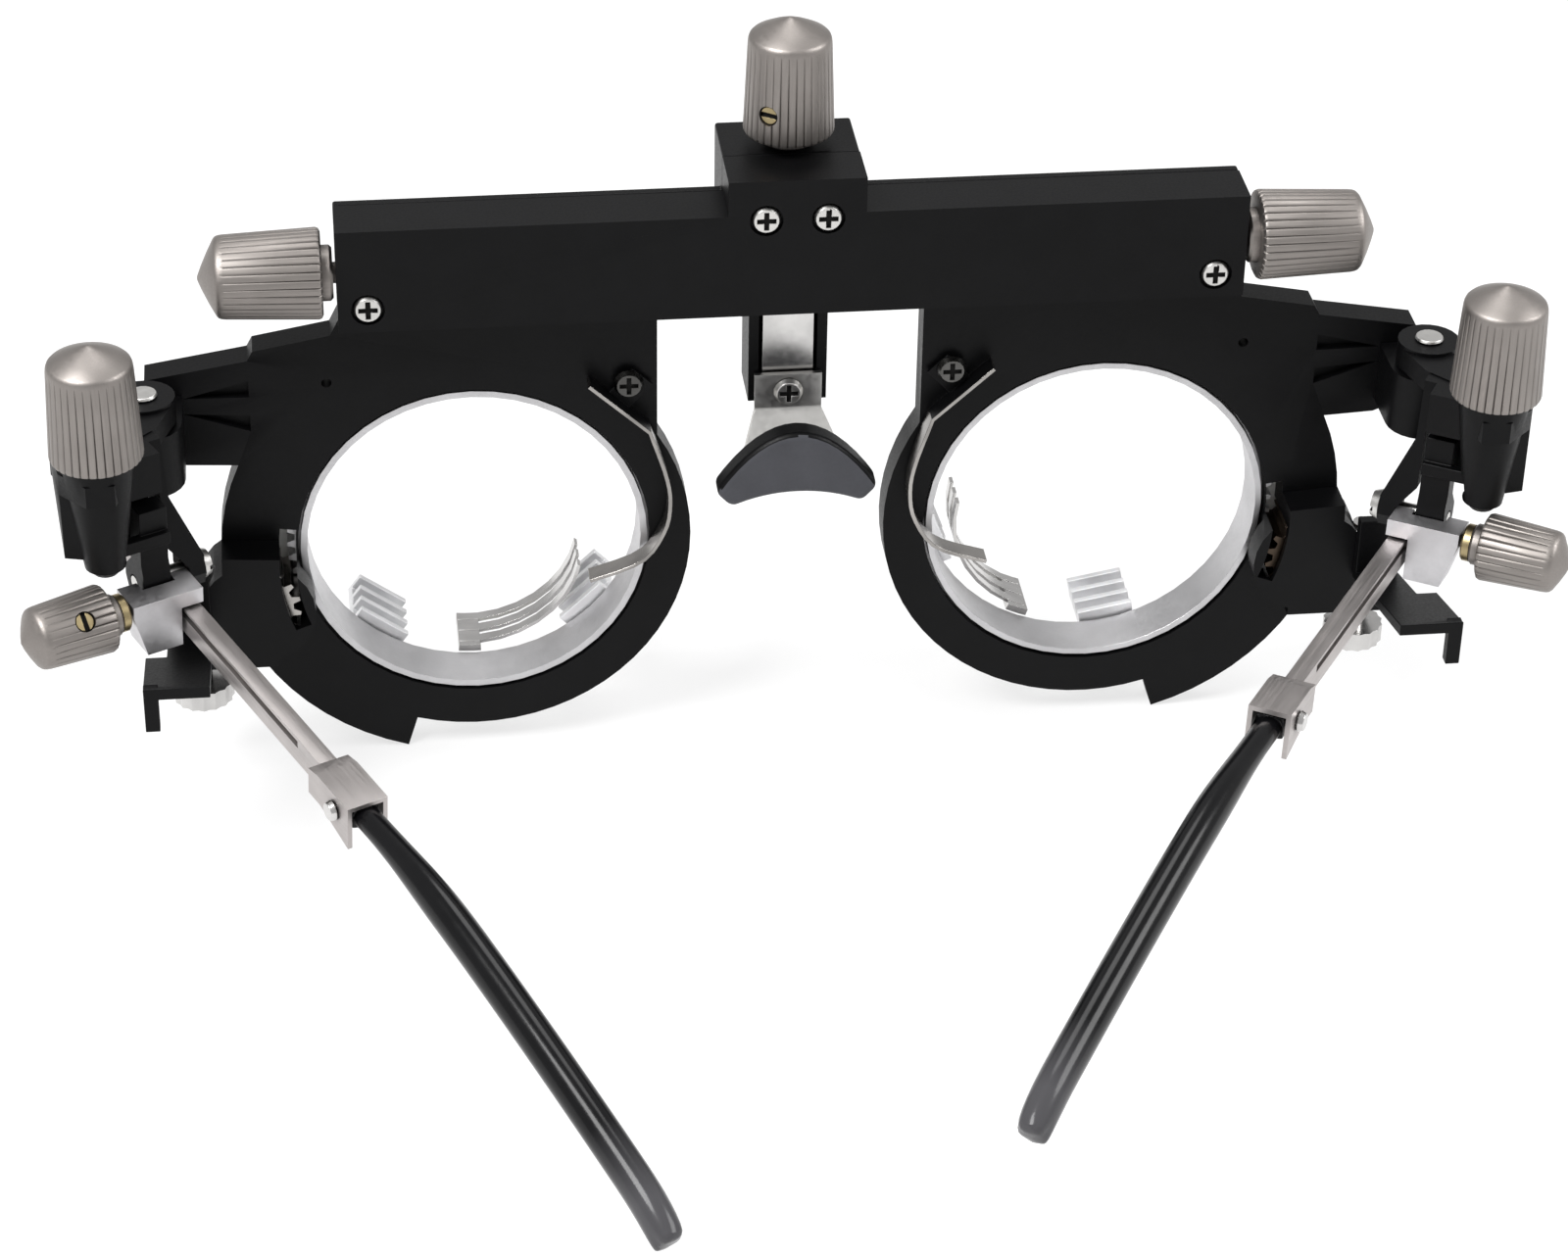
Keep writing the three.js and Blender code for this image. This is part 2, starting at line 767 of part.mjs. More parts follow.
// Raised hump over the idler gear and the lug that holds the finger wheel
function carrierHump() {
  const hump = sector(humpInner, carrierTemporalRadius, humpStartAngle, humpEndAngle, 8);
  const capRadius = idlerTip + gap + barWall;
  const cap = rodY(idlerCentre[0], [humpRear, plateFront], idlerCentre[1], capRadius, roundSides);
  const lugX = [carrierTemporalRadius * lugRootShare, wormX + lugHalfWidth];
  const lug = block(lugX, [humpRear, plateFront], [lugBottom, lugTop]);
  return join(slab(hump, [humpRear, plateRear + seam]), cap, lug);
}

// Everything that is cut out of the carrier for the cell and its drive
function carrierDriveRoom() {
  const through = [plateRear - overrun, plateFront + overrun];
  const fromSkin = [skinFront, plateFront + overrun];
  const wormRoomZ = [lugBottom - overrun, sightTopZ + overrun];
  const lugWayZ = [lugBottom - overrun, lugTop + overrun];
  const idlerY = [humpRear + barWall * humpSkinShare, plateFront + overrun];
  const window = sector(windowInner, windowOuter, windowStartAngle, windowEndAngle, 8);
  return join(
    rodY(0, through, 0, ringOuter + gap, wideSides),
    rodY(0, fromSkin, 0, ringTip + gap, wideSides),
    rodZ(wormX, wormY, wormRoomZ, wormRadius + gap, headSides),
    rodZ(wormX, wormY, lugWayZ, spindleRadius + gap, boreSides),
    rodY(idlerCentre[0], idlerY, idlerCentre[1], idlerTip + gap, roundSides),
    slab(window, [humpRear - overrun, plateFront]),
  );
}

// Two long shallow pockets that leave a rib along the arm
function carrierPockets() {
  const root = armStepX + gap;
  const end = hingeX - knuckleRadius;
  const depth = [plateRear - overrun, plateRear + ribPocketDepth];
  const upper = outline([
    [root, armTop - barWall * 2],
    [end, armEndTop - barWall * 2],
    [root, armTop - barWall * upperPocketShare],
  ]);
  const lower = outline([
    [root, armBottom + barWall * 5],
    [end, armBottom + barWall * lowerPocketTopShare],
    [root, armBottom + barWall * lowerPocketShare],
  ]);
  return join(slab(upper, depth), slab(lower, depth));
}

// Carrier plate with its slide tab, hinge knuckle, idler hump and wheel lug
function lensCarrier() {
  const plate = slab(carrierOutline(), [plateRear, plateFront]);
  const through = [plateRear - overrun, plateFront + overrun];
  const pinZ = [knuckleBottom - overrun, knuckleTop + overrun];
  const springY = [plateRear - overrun, plateFront - barWall];
  const body = join(plate, carrierTab(), carrierHump(), carrierKnuckle());
  return cut(
    body,
    carrierDriveRoom(),
    carrierPockets(),
    rodX([tabInner, overrun], leadScrewY, leadScrewZ, spindleRadius + gap, boreSides),
    rodZ(hingeX, hingeY, pinZ, hingePinRadius + gap / 2, boreSides),
    rodY(alignHoleX, through, alignHoleZ, alignHoleRadius, stemSides),
    rodY(springScrewX, springY, springScrewZ, screwShankRadius + gap / 2),
  );
}

// Rear leaf spring: a strip on edge that follows the lens rim and hooks inward at its end
function retainingSpring() {
  const bends = springRoute.map(([radius, angle]) => new THREE.Vector2(...onCircle(radius, angle)));
  const elbow = new THREE.Vector2(springElbowX, springElbowZ);
  const curve = new THREE.SplineCurve([elbow, ...bends]);
  const route = [[springStartX, springStartZ], ...curve.getPoints(springSteps).map(({ x, y }) => [x, y])];
  const rear = plateRear - gap - springHeight;
  const half = springThickness / 2;
  const left = [];
  const right = [];
  route.forEach(([x, z], i) => {
    const before = route[Math.max(i - 1, 0)];
    const after = route[Math.min(i + 1, route.length - 1)];
    const run = new THREE.Vector2(after[0] - before[0], after[1] - before[1]).normalize();
    left.push([x - run.y * half, z + run.x * half]);
    right.push([x + run.y * half, z - run.x * half]);
  });
  const strip = slab(outline([...left, ...right.reverse()]), [rear, plateRear - gap]);
  const run = new THREE.Vector2(springElbowX - springStartX, springElbowZ - springStartZ).normalize();
  const foot = block(
    [-screwHeadRadius * springFootHalfShare, screwHeadRadius * springFootHalfShare],
    [plateRear - gap - springThickness, plateRear - gap],
    [-half, screwHeadRadius * springFootShare],
  );
  const turn = THREE.MathUtils.radToDeg(Math.atan2(run.y, run.x)) - 180;
  const footX = (springStartX + springElbowX) / 2;
  const footZ = (springStartZ + springElbowZ) / 2;
  const placed = foot.rotate([0, -turn, 0]).translate([footX, 0, footZ]);
  const hole = rodY(springScrewX, [rear, plateRear], springScrewZ, screwShankRadius + gap / 2);
  return cut(join(strip, placed), hole);
}

// Sight plate: a flange beside the carrier, a shelf that runs back and a blade at its end
function sightPlate() {
  const flangeY = humpRear - gap;
  const side = outline([
    [flangeY, sightTopZ],
    [flangeY, sightShelfZ],
    [sightEndY, sightEndZ - sightThickness],
    [sightEndY, sightEndZ],
    [flangeY - sightThickness, sightShelfZ + sightThickness],
    [flangeY - sightThickness, sightTopZ],
  ]);
  const wide = sideSlab(side, [sightInner, sightOuter]);
  const corner = block(
    [sightFlangeOuter, sightOuter + overrun],
    [sightWideY, flangeY + overrun],
    [sightShelfZ - overrun, sightTopZ + overrun],
  );
  const blade = block(
    [sightOuter - sightBladeWidth, sightOuter],
    [sightEndY, sightEndY + sightThickness],
    [sightEndZ - sightBladeDrop, sightEndZ - seam],
  );
  return join(cut(wide, corner), blade);
}

// The rotating cell: a thin tube, its ring of teeth and a front flange
function cellRing() {
  const barrel = tube(ringInner, ringOuter, [0, ringDepth], wideSides);
  const flange = tube(ringOuter - seam, flangeRadius, [flangeRear, flangeFront], wideSides);
  const gear = cut(
    slab(gearOutline(ringTeeth, 0), [gearRear, gearFront]),
    rodY(0, [gearRear - overrun, gearFront + overrun], 0, ringOuter - seam, wideSides),
  );
  return join(barrel, flange, gear);
}

// A slotted clip that holds the edges of several lenses, standing on the front of the cell
function lensClip(angle) {
  const front = ringDepth + gap;
  const length = lensSlots * lensSlotPitch + clipThickness;
  const inner = ringInner - clipDepth / 2;
  const body = block([inner, inner + clipDepth], [front, front + length], [-clipWidth / 2, clipWidth / 2]);
  const slots = [];
  for (let i = 0; i < lensSlots; i += 1) {
    const start = front + clipThickness + lensSlotPitch * i;
    slots.push(block(
      [inner - overrun, inner + clipDepth - clipThickness],
      [start, start + lensSlotPitch - clipThickness],
      [-clipWidth / 2 - overrun, clipWidth / 2 + overrun],
    ));
  }
  return cut(body, ...slots).rotate([0, -angle, 0]);
}

// Bowed leaves, one for each lens, on a common foot
function lensLeaf() {
  const steps = 8;
  const outer = [];
  const inner = [];
  for (let i = 0; i <= steps; i += 1) {
    const share = i / steps;
    const angle = leafFootAngle + (leafTipAngle - leafFootAngle) * share;
    const radius = leafFootRadius + (leafTipRadius - leafFootRadius) * share * share;
    outer.push(onCircle(radius, angle));
    inner.push(onCircle(radius - leafThickness, angle));
  }
  const strip = outline([...outer, ...inner.reverse()]);
  const front = ringDepth + gap;
  const leaves = [];
  for (let i = 0; i < lensSlots; i += 1) {
    const start = front + clipThickness + lensSlotPitch * i;
    leaves.push(slab(strip, [start, start + leafWidth], 8));
  }
  const footInner = leafFootRadius - leafThickness;
  const footOuter = leafFootRadius + leafThickness;
  const foot = sector(footInner, footOuter, leafFootAngle, leafFootAngle - leafFoot, 3);
  return join(slab(foot, [front, front + lensSlots * lensSlotPitch]), ...leaves);
}

const axisDial = () => tube(dialInner, dialOuter, [dialRear, dialFront], wideSides);

// Idler gear between the worm and the cell's teeth
function idlerGear() {
  const phase = 180 + idlerAngle;
  const shape = slab(gearOutline(idlerTeeth, phase), [idlerRear, gearFront]);
  return shape.translate([idlerCentre[0], 0, idlerCentre[1]]);
}

// Finger wheel with its spindle and worm
function axisWheel() {
  const rim = [];
  for (let i = 0; i < wheelTeeth * 2; i += 1) {
    rim.push(onCircle(i % 2 === 0 ? wheelRadius : wheelRadius - fluteDepth, (180 / wheelTeeth) * i));
  }
  const disc = { depth: wheelThickness, bevelEnabled: false };
  const wheel = solid(new THREE.ExtrudeGeometry(outline(rim), disc)).translate([0, 0, wheelZ]);
  const lowZ = wheelZ + wheelThickness - seam;
  const highZ = idlerCentre[1] + wormLength / 2 + gap;
  const stem = rodZ(0, 0, [lowZ, highZ], spindleRadius, boreSides);
  const worm = [];
  const ribLength = wormLength / wormRibs;
  for (let i = 0; i < wormRibs; i += 1) {
    const z = idlerCentre[1] - wormLength / 2 + ribLength * i;
    const middle = z + ribLength / 2;
    worm.push(rod([0, 0, z], [0, 0, middle + seam], spindleRadius, wormRadius, stemSides));
    worm.push(rod([0, 0, middle], [0, 0, z + ribLength], wormRadius, spindleRadius, stemSides));
  }
  return join(wheel, stem, ...worm).translate([wormX, wormY, 0]);
}

// An outline in X and Y, thick along Z
function plan(points, z) {
  const geometry = new THREE.ExtrudeGeometry(outline(points), { depth: z[1] - z[0], bevelEnabled: false });
  geometry.translate(0, 0, z[0]);
  return solid(geometry);
}

const knuckleClear = -bracketInnerWallY;
const wallRearY = bracketInnerWallY - bracketWall;

// The cheek comes down from the shell, leans inboard and ends in a lobe round the pivot
function pivotCheek() {
  const face = cheekInner + cheekThickness;
  const lean = slab(outline([
    [cheekInner, pivotZ - pivotLobe],
    [face, pivotZ - pivotLobe],
    [face, cheekKneeZ - overrun],
    [armInner - gap, cheekWideZ],
    [armInner - gap, tongueRoofZ],
    [bracketInnerX + cheekThickness, tongueRoofZ],
    [bracketInnerX + cheekThickness, bracketTop - seam],
    [cheekTopX, bracketTop - seam],
    [cheekTopX, cheekTopZ],
    [cheekInner, cheekKneeZ],
  ]), [pivotY - pivotLobe, bracketInnerWallY]);
  const profile = sideSlab(outline([
    [wallRearY + seam, bracketTop],
    [wallRearY + seam, cheekTopZ - cheekThickness],
    [pivotY + pivotLobe, pivotZ + pivotLobe],
    [pivotY + pivotLobe, pivotZ - seam],
    [pivotY + pivotLobe * 0.7, pivotZ - pivotLobe * 0.7],
    [pivotY, pivotZ - pivotLobe],
    [pivotY - pivotLobe * 0.7, pivotZ - pivotLobe * 0.7],
    [pivotY - pivotLobe, pivotZ],
    [pivotY - pivotLobe * 0.8, pivotZ + pivotLobe * 0.8],
    [wallRearY - bracketWall * 1.4, bracketTop],
  ]), [cheekInner - overrun, bracketInnerX + cheekThickness + overrun]);
  return lean.intersect(profile);
}

// The shell's walls hang from its cap
function bracketShell() {
  const walls = [bracketWallLow, bracketTop - seam];
  const cap = plan([
    [-hingeEarRadius * 0.7, -hingeEarRadius * 0.7],
    [hingeEarRadius * 0.6, bracketFrontY],
    [bracketOuterX, bracketFrontY],
    [postX + postRadiusTop, postY + bracketWall],
    [postX + postRadiusTop * 0.7, postY - postRadiusTop * 0.7],
    [postX, postY - postRadiusTop],
    [postX - postRadiusTop * 0.9, postY],
    [bracketInnerX + cheekThickness, wallRearY - bracketWall],
    [bracketInnerX - cheekThickness, wallRearY],
  ], [bracketTop - bracketCap, bracketTop]);
  const outerWall = plan([
    [bracketOuterX - bracketWall, bracketFrontY],
    [bracketOuterX, bracketFrontY],
    [postX + postRadiusTop, postY + bracketWall],
    [postX + postRadiusTop * 0.6, postY],
    [postX + postRadiusTop - bracketWall * 1.3, postY + bracketWall],
  ], walls).intersect(sideSlab(outline([
    [bracketFrontY, bracketTop],
    [bracketFrontY, bracketTop - bracketCap],
    [wallTaperY, wallTaperZ],
    [postY - postRadiusTop, wallTaperZ],
    [postY - postRadiusTop, bracketTop],
  ]), [knuckleClear, postX + postRadiusTop + overrun]));
  const sideX = knuckleClear + bracketWall;
  const frontWalls = [tongueRoofZ, bracketTop - seam];
  return join(
    cap,
    outerWall,
    block([bracketInnerX, sideX], [wallRearY, bracketInnerWallY], walls),
    block([knuckleClear, sideX], [wallRearY, bracketFrontY], walls),
    block([knuckleClear, bracketOuterX], [bracketFrontY - bracketWall, bracketFrontY], frontWalls),
    block([bracketInnerX, postX], [postY, wallRearY], frontWalls),
    block([bracketInnerX, postX], [tongueWebRear, tongueWebFront], [cheekWideZ, bracketTop - seam]),
  );
}

// Tapered post that the tilt screw runs down, with its rounded lower end
function bracketPost() {
  const low = [postX, postY, postNoseZ];
  const post = rod(low, [postX, postY, postTopZ], postRadiusBottom, postRadiusTop, roundSides);
  const end = postRadiusBottom * postEndShare;
  const tip = [postX, postY, postBottomZ];
  const nose = rod(tip, [postX, postY, postNoseZ + seam], end, postRadiusBottom, roundSides);
  return join(post, nose);
}

// Temple bracket in the hinge's frame: an ear, the shell, the post and the cheek
function templeBracket() {
  const ear = rodZ(0, 0, [hingeTop - hingeEarHeight, hingeTop], hingeEarRadius, roundSides);
  const seatZ = [postTopZ - knobCollarLength - gap, postTopZ + overrun];
  const pinZ = [knuckleBottom, hingeTop + overrun];
  const roomZ = [knuckleBottom - overrun, hingeTop - hingeEarHeight];
  const fingerRoom = block(
    [armOuter - gap, postX + tiltScrewRadius + gap],
    [postY - fingerHalfWidth - fingerSwing, postY + fingerHalfWidth + fingerSwing],
    [fingerZ - fingerHeight / 2 - fingerLift, fingerZ + fingerHeight / 2 + fingerLift],
  );
  const armRoom = block(
    [armInner - gap, armOuter + gap],
    [armRearY - fingerTravel, armFrontY + fingerTravel],
    [postBottomZ, armTopZ + fingerTravel],
  );
  const body = join(ear, bracketShell(), bracketPost(), pivotCheek());
  return cut(
    body,
    fingerRoom,
    armRoom,
    rodZ(0, 0, roomZ, knuckleRadius + gap * 2, roundSides),
    rodZ(0, 0, pinZ, hingePinRadius + gap / 2, boreSides),
    rodZ(postX, postY, seatZ, knobCollarRadius + gap),
    rodZ(postX, postY, [postNoseZ + overrun, postTopZ], tiltScrewRadius + gap, boreSides),
    rodX([cheekInner - overrun, armInner], pivotY, pivotZ, pivotRadius + gap / 2, boreSides),
  );
}

function hingePin() {
  const shaft = rodZ(0, 0, [knuckleBottom + gap, hingeTop + seam * 2], hingePinRadius, boreSides);
  const base = [0, 0, hingeTop + seam];
  const top = [0, 0, hingeTop + seam + screwHeadHeight / 2];
  const wide = hingePinRadius * pinHeadShare;
  const head = rod(base, top, wide, wide - seam, headSides);
  return join(shaft, head);
}

function pivotScrew() {
  const face = cheekInner - seam;
  const headTop = face - pivotHeadHeight;
  const crown = pivotHeadRadius * screwCrownShare;
  const head = rod([face, pivotY, pivotZ], [headTop, pivotY, pivotZ], pivotHeadRadius, crown, headSides);
  const stem = rodX([face - seam, armOuter], pivotY, pivotZ, pivotRadius, boreSides);
  const slot = block(
    [headTop - overrun, headTop + screwSlotDepth],
    [pivotY - pivotHeadRadius, pivotY + pivotHeadRadius],
    [pivotZ - screwSlotWidth / 2, pivotZ + screwSlotWidth / 2],
  );
  return cut(join(head, stem), slot);
}

// Tilting arm: a finger at its top meets the tilt screw, its tail fills the block's pocket
function tiltArm() {
  const plate = sideSlab(outline([
    [armFrontY, armTopZ],
    [armFrontY, pivotZ + pivotLobe * 1.4],
    [pivotY + pivotLobe, pivotZ + pivotLobe * 0.6],
    [pivotY + pivotLobe, pivotZ],
    [pivotY + pivotLobe * 0.6, pivotZ - pivotLobe * 0.8],
    [pivotY - pivotLobe * 0.4, pivotZ - pivotLobe],
    [blockFrontY - gap, armTailZ],
    [armTailY, armTailZ],
    [armTailY, pivotZ + pivotLobe],
    [armRearY, pivotZ + pivotLobe * 1.6],
    [armRearY, armTopZ],
  ]), [armInner, armOuter]);
  const finger = block(
    [armInner, postX - tiltScrewRadius - gap],
    [postY - fingerHalfWidth, postY + fingerHalfWidth],
    [fingerZ - fingerHeight / 2, fingerZ + fingerHeight / 2],
  );
  const wayX = [armInner - overrun, armOuter + overrun];
  return cut(join(plate, finger), rodX(wayX, pivotY, pivotZ, pivotRadius + gap / 2, boreSides));
}

const railInner = railX - railWidth / 2;
const railOuter = railX + railWidth / 2;
const railTop = railZ + railHeight / 2;

// Silver block: a plate over the bar with a solid body beside it
function templeBlock() {
  const face = outline([
    [blockInnerX, blockTopZ],
    [blockInnerX, railTop + gap],
    [blockBodyX, railTop + gap],
    [blockBodyX, blockBottomZ],
    [blockOuterX - blockChamfer, blockBottomZ],
    [blockOuterX, blockTopZ - blockChamfer],
    [blockOuterX, blockTopZ],
  ]);
  const body = slab(face, [blockRearY, blockFrontY]);
  const pocket = block(
    [armInner - gap, armOuter + gap],
    [armTailY - gap, blockFrontY + overrun],
    [armTailZ - gap, blockTopZ + overrun],
  );
  const roomX = [railInner - gap, blockOuterX + overrun];
  const pinionRoom = rodX(roomX, lengthKnobY, lengthKnobZ, pinionRadius + gap / 2, boreSides);
  return cut(body, pocket, pinionRoom);
}

// Temple bar: a grooved rail whose rear end is forked for the ear hook
function templeBar() {
  const z = [railZ - railHeight / 2, railTop];
  const rail = block([railInner, railOuter], [yokeY, railFrontY], z);
  const groove = block(
    [railOuter - grooveDepth, railOuter + overrun],
    [grooveRearY, railFrontY - railWidth],
    [railTop - grooveDrop - grooveHeight, railTop - grooveDrop],
  );
  const yokeX = [railX - hookWidth / 2 - gap - yokeCheek, railX + hookWidth / 2 + gap + yokeCheek];
  const yokeEnd = yokeY - yokeLength;
  const yoke = sideSlab(outline([
    [yokeY + railWidth, z[0]],
    [yokeY + railWidth, railTop],
    [yokeY, yokeTopZ],
    [yokeEnd, yokeTopZ],
    [yokeEnd, yokeTipZ],
    [yokeY - yokeCheek, z[0]],
  ]), yokeX);
  const fork = block(
    [yokeX[0] + yokeCheek, yokeX[1] - yokeCheek],
    [yokeEnd - overrun, yokeY],
    [yokeTipZ - overrun, yokeTopZ - yokeCheek],
  );
  const wayX = [yokeX[0] - overrun, yokeX[1] + overrun];
  const way = rodX(wayX, hookPivotY, railZ, screwShankRadius + gap / 2, stemSides);
  return cut(join(rail, yoke), groove, fork, way);
}

// The hook's screw goes in from the outboard cheek
function hookScrew() {
  const face = railX + hookWidth / 2 + gap + yokeCheek + seam;
  const far = railX - hookWidth / 2 - gap - yokeCheek;
  const base = [face, hookPivotY, railZ];
  const top = [face + screwHeadHeight, hookPivotY, railZ];
  const head = rod(base, top, hookHeadRadius, hookHeadRadius * screwCrownShare, headSides);
  const stem = rodX([far, face + seam], hookPivotY, railZ, screwShankRadius, stemSides);
  return join(head, stem);
}

// A closed skin over a row of rings that all have the same number of points
function skin(rings) {
  const sides = rings[0].length;
  const corners = rings.flat();
  const index = [];
  for (let i = 0; i < rings.length - 1; i += 1) {
    for (let j = 0; j < sides; j += 1) {
      const a = i * sides + j;
      const b = i * sides + ((j + 1) % sides);
      index.push(a, b, a + sides, b, b + sides, a + sides);
    }
  }
  const last = (rings.length - 1) * sides;
  for (let j = 1; j < sides - 1; j += 1) {
    index.push(0, j + 1, j, last, last + j, last + j + 1);
  }
  const geometry = new THREE.BufferGeometry();
  geometry.setAttribute('position', new THREE.Float32BufferAttribute(corners.flat(), 3));
  geometry.setIndex(index);
  return solid(geometry);
}

// Slope of the hook at one share of its length: it drops further the further back it goes
function hookSlope(share) {
  const middle = hookMiddleDrop + (hookEndDrop - hookMiddleDrop) * share;
  const drop = hookStartDrop + (middle - hookStartDrop) * Math.min(1, share * 3);
  return degrees(share > hookTipShare ? drop + hookTipTurn : drop);
}

// One oval ring of the hook, square to its slope
function hookRing(x, y, z, slope, height) {
  const ring = [];
  for (let j = 0; j < hookSides; j += 1) {
    const [across, up] = onCircle(1, (360 * (j + 0.5)) / hookSides);
    const rise = (up * height) / 2;
    ring.push([x + (across * hookWidth) / 2, y - rise * Math.sin(slope), z + rise * Math.cos(slope)]);
  }
  return ring;
}

// Ear hook: an oval sheath that leans in and bends down towards its tip
function earHook(hookTurn, hookLean) {
  const rings = [];
  const step = hookLength / hookSteps;
  let x = railX;
  let y = hookPivotY - hookRoot / 2;
  let z = railZ;
  for (let i = 0; i <= hookSteps; i += 1) {
    const share = i / hookSteps;
    const slope = hookSlope(share);
    const height = hookRoot + (hookHeight - hookRoot) * Math.min(1, share * 4);
    rings.push(hookRing(x, y, z, slope, height));
    x -= step * Math.sin(degrees(hookLean));
    y -= step * Math.cos(slope);
    z -= step * Math.sin(slope);
  }
  const half = hookWidth / 2;
  const nose = rodX([railX - half, railX + half], hookPivotY, railZ, hookRoot / 2, headSides);
  const neck = block(
    [railX - half, railX + half],
    [hookPivotY - hookRoot, hookPivotY],
    [railZ - hookRoot / 2, railZ + hookRoot / 2],
  );
  const wayX = [railX - half - overrun, railX + half + overrun];
  const way = rodX(wayX, hookPivotY, railZ, screwShankRadius + gap / 2, stemSides);
  const hook = cut(join(skin(rings), nose, neck), way).translate([0, -hookPivotY, -railZ]);
  return hook.rotate([hookTurn, 0, 0]).translate([0, hookPivotY, railZ]);
}

const leftGrubTurn = -132;
const rightGrubTurn = 140;
const atPivot = (shape) => shape.translate([0, -pivotY, -pivotZ]);

// One eye: carrier, cell, drive, hinge and temple
function eyeAssembly(side) {
  const carrier = new THREE.Group();
  carrier.position.x = (side * pupilDistance) / 2;
  const springScrew = crossHeadScrew(plateFront - plateRear - barWall - gap)
    .translate([springScrewX, plateRear - gap - springThickness - gap / 2, springScrewZ]);
  const turn = side > 0 ? rightCellTurn : leftCellTurn;
  const turned = (shape) => shape.rotate([0, -turn, 0]);
  carrier.add(
    sidePart(side, 'lens_carrier', lensCarrier(), blackPlastic),
    sidePart(side, 'retaining_spring', retainingSpring(), polishedSteel),
    sidePart(side, 'retaining_spring_screw', springScrew, polishedSteel),
    sidePart(side, 'sight_plate', sightPlate(), blackPlastic),
    sidePart(side, 'axis_dial', axisDial(), dialWhite),
    sidePart(side, 'cell_ring', cellRing(), cellAluminium),
    sidePart(side, 'lens_clip_outer', turned(lensClip(outerClipAngle)), polishedSteel),
    sidePart(side, 'lens_clip_inner', turned(lensClip(innerClipAngle)), polishedSteel),
    sidePart(side, 'lens_leaf_spring', turned(lensLeaf()), polishedSteel),
    sidePart(side, 'idler_gear', idlerGear(), brass),
    sidePart(side, 'axis_wheel', axisWheel(), polishedSteel),
  );
  const right = side > 0;
  const hinge = new THREE.Group();
  hinge.position.set(side * hingeX, hingeY, 0);
  hinge.rotation.z = -side * degrees(right ? rightFold : leftFold);
  const tiltKnob = knobWithSpindle(tiltScrewLength, tiltScrewRadius)
    .translate([postX, postY, postTopZ - knobCollarLength]);
  hinge.add(
    sidePart(side, 'hinge_pin', hingePin(), polishedSteel),
    sidePart(side, 'temple_bracket', templeBracket(), blackPlastic),
    sidePart(side, 'tilt_pivot_screw', pivotScrew(), polishedSteel),
    sidePart(side, 'tilt_knob', tiltKnob, knobAluminium),
  );
  const spindle = lengthKnobX - railInner;
  const grubTurn = right ? rightGrubTurn : leftGrubTurn;
  const pocket = grubPocket(grubTurn, lengthKnobSize);
  const lengthKnob = knobWithSpindle(spindle, pinionRadius, pocket, lengthKnobSize, lengthKnobShare);
  const sleeve = rod([0, 0, blockOuterX + gap - lengthKnobX], [0, 0, seam], sleeveRadius);
  const ontoX = (shape) => shape.rotate([0, 90, 0]).translate([lengthKnobX, lengthKnobY, lengthKnobZ]);
  const reach = right ? rightReach : leftReach;
  const slid = (shape) => shape.translate([0, -reach, 0]);
  const hook = right ? earHook(rightHookTurn, rightHookLean) : earHook(leftHookTurn, leftHookLean);
  const temple = new THREE.Group();
  temple.add(
    sidePart(side, 'tilt_arm', atPivot(tiltArm()), blackPlastic),
    sidePart(side, 'temple_block', atPivot(templeBlock()), brushedSteel),
    sidePart(side, 'length_knob', atPivot(ontoX(join(lengthKnob, sleeve))), knobAluminium),
    sidePart(side, 'length_knob_grub', atPivot(ontoX(grubScrew(grubTurn, lengthKnobSize))), brass),
    sidePart(side, 'temple_bar', atPivot(slid(templeBar())), brushedSteel),
    sidePart(side, 'ear_hook_screw', atPivot(slid(hookScrew())), polishedSteel),
    sidePart(side, 'ear_hook', atPivot(slid(hook)), hookGloss),
  );
  temple.position.set(0, pivotY, pivotZ);
  temple.rotation.x = -degrees(right ? rightTilt : leftTilt);
  hinge.add(temple);
  carrier.add(hinge);
  return carrier;
}

// Lead screw knobs at the two ends of the crossbar
function distanceKnob(side) {
  const reach = barLength / 2 - blockWidth / 2 - overrun;
  const knob = knobWithSpindle(reach, spindleRadius).rotate([0, 90, 0])
    .translate([barLength / 2 + gap, leadScrewY, leadScrewZ]);
  return sidePart(side, 'distance_knob', knob, knobAluminium);
}

const noseGrubTurn = -125;
const noseKnobZ = blockTop + gap;

const frame = new THREE.Group();
frame.add(
  part('crossbar_housing', crossbarHousing(), blackPlastic),
  part('crossbar_front', crossbarFront(), blackPlastic),
);
[[barScrewX, barScrewZ, 'bar_screw'], [blockScrewX, blockScrewZ, 'bridge_screw']].forEach(([x, z, name]) => {
  [1, -1].forEach((side) => {
    const screw = crossHeadScrew(screwShank).translate([side * x, screwSeatY - seam, z]);
    frame.add(part(`${sideName(side)}_${name}`, screw, polishedSteel));
  });
});
frame.add(
  part('nose_knob', knobWithSpindle(noseSpindleLength, spindleRadius, grubPocket(noseGrubTurn))
    .translate([0, noseScrewY, noseKnobZ]), knobAluminium),
  part('nose_knob_grub', grubScrew(noseGrubTurn).translate([0, noseScrewY, noseKnobZ]), brass),
  part('nose_post', nosePost(), blackPlastic),
  part('nose_post_plate', nosePostPlate(), polishedSteel),
  part('nose_post_screw', crossHeadScrew(postFront - postWall * 2 - postRear)
    .translate([0, postRear - gap - stripThickness - gap / 2, noseScrewZ]), polishedSteel),
  part('nose_pad_strip', nosePadStrip(), polishedSteel),
  part('nose_pad', nosePad(), padRubber),
);
[1, -1].forEach((side) => frame.add(distanceKnob(side), eyeAssembly(side)));

// Everything moves together so that the origin sits on the bar's rear face
frame.children.forEach((piece) => {
  piece.position.add(new THREE.Vector3(0, -barRear, -leadScrewZ));
});

export default frame;
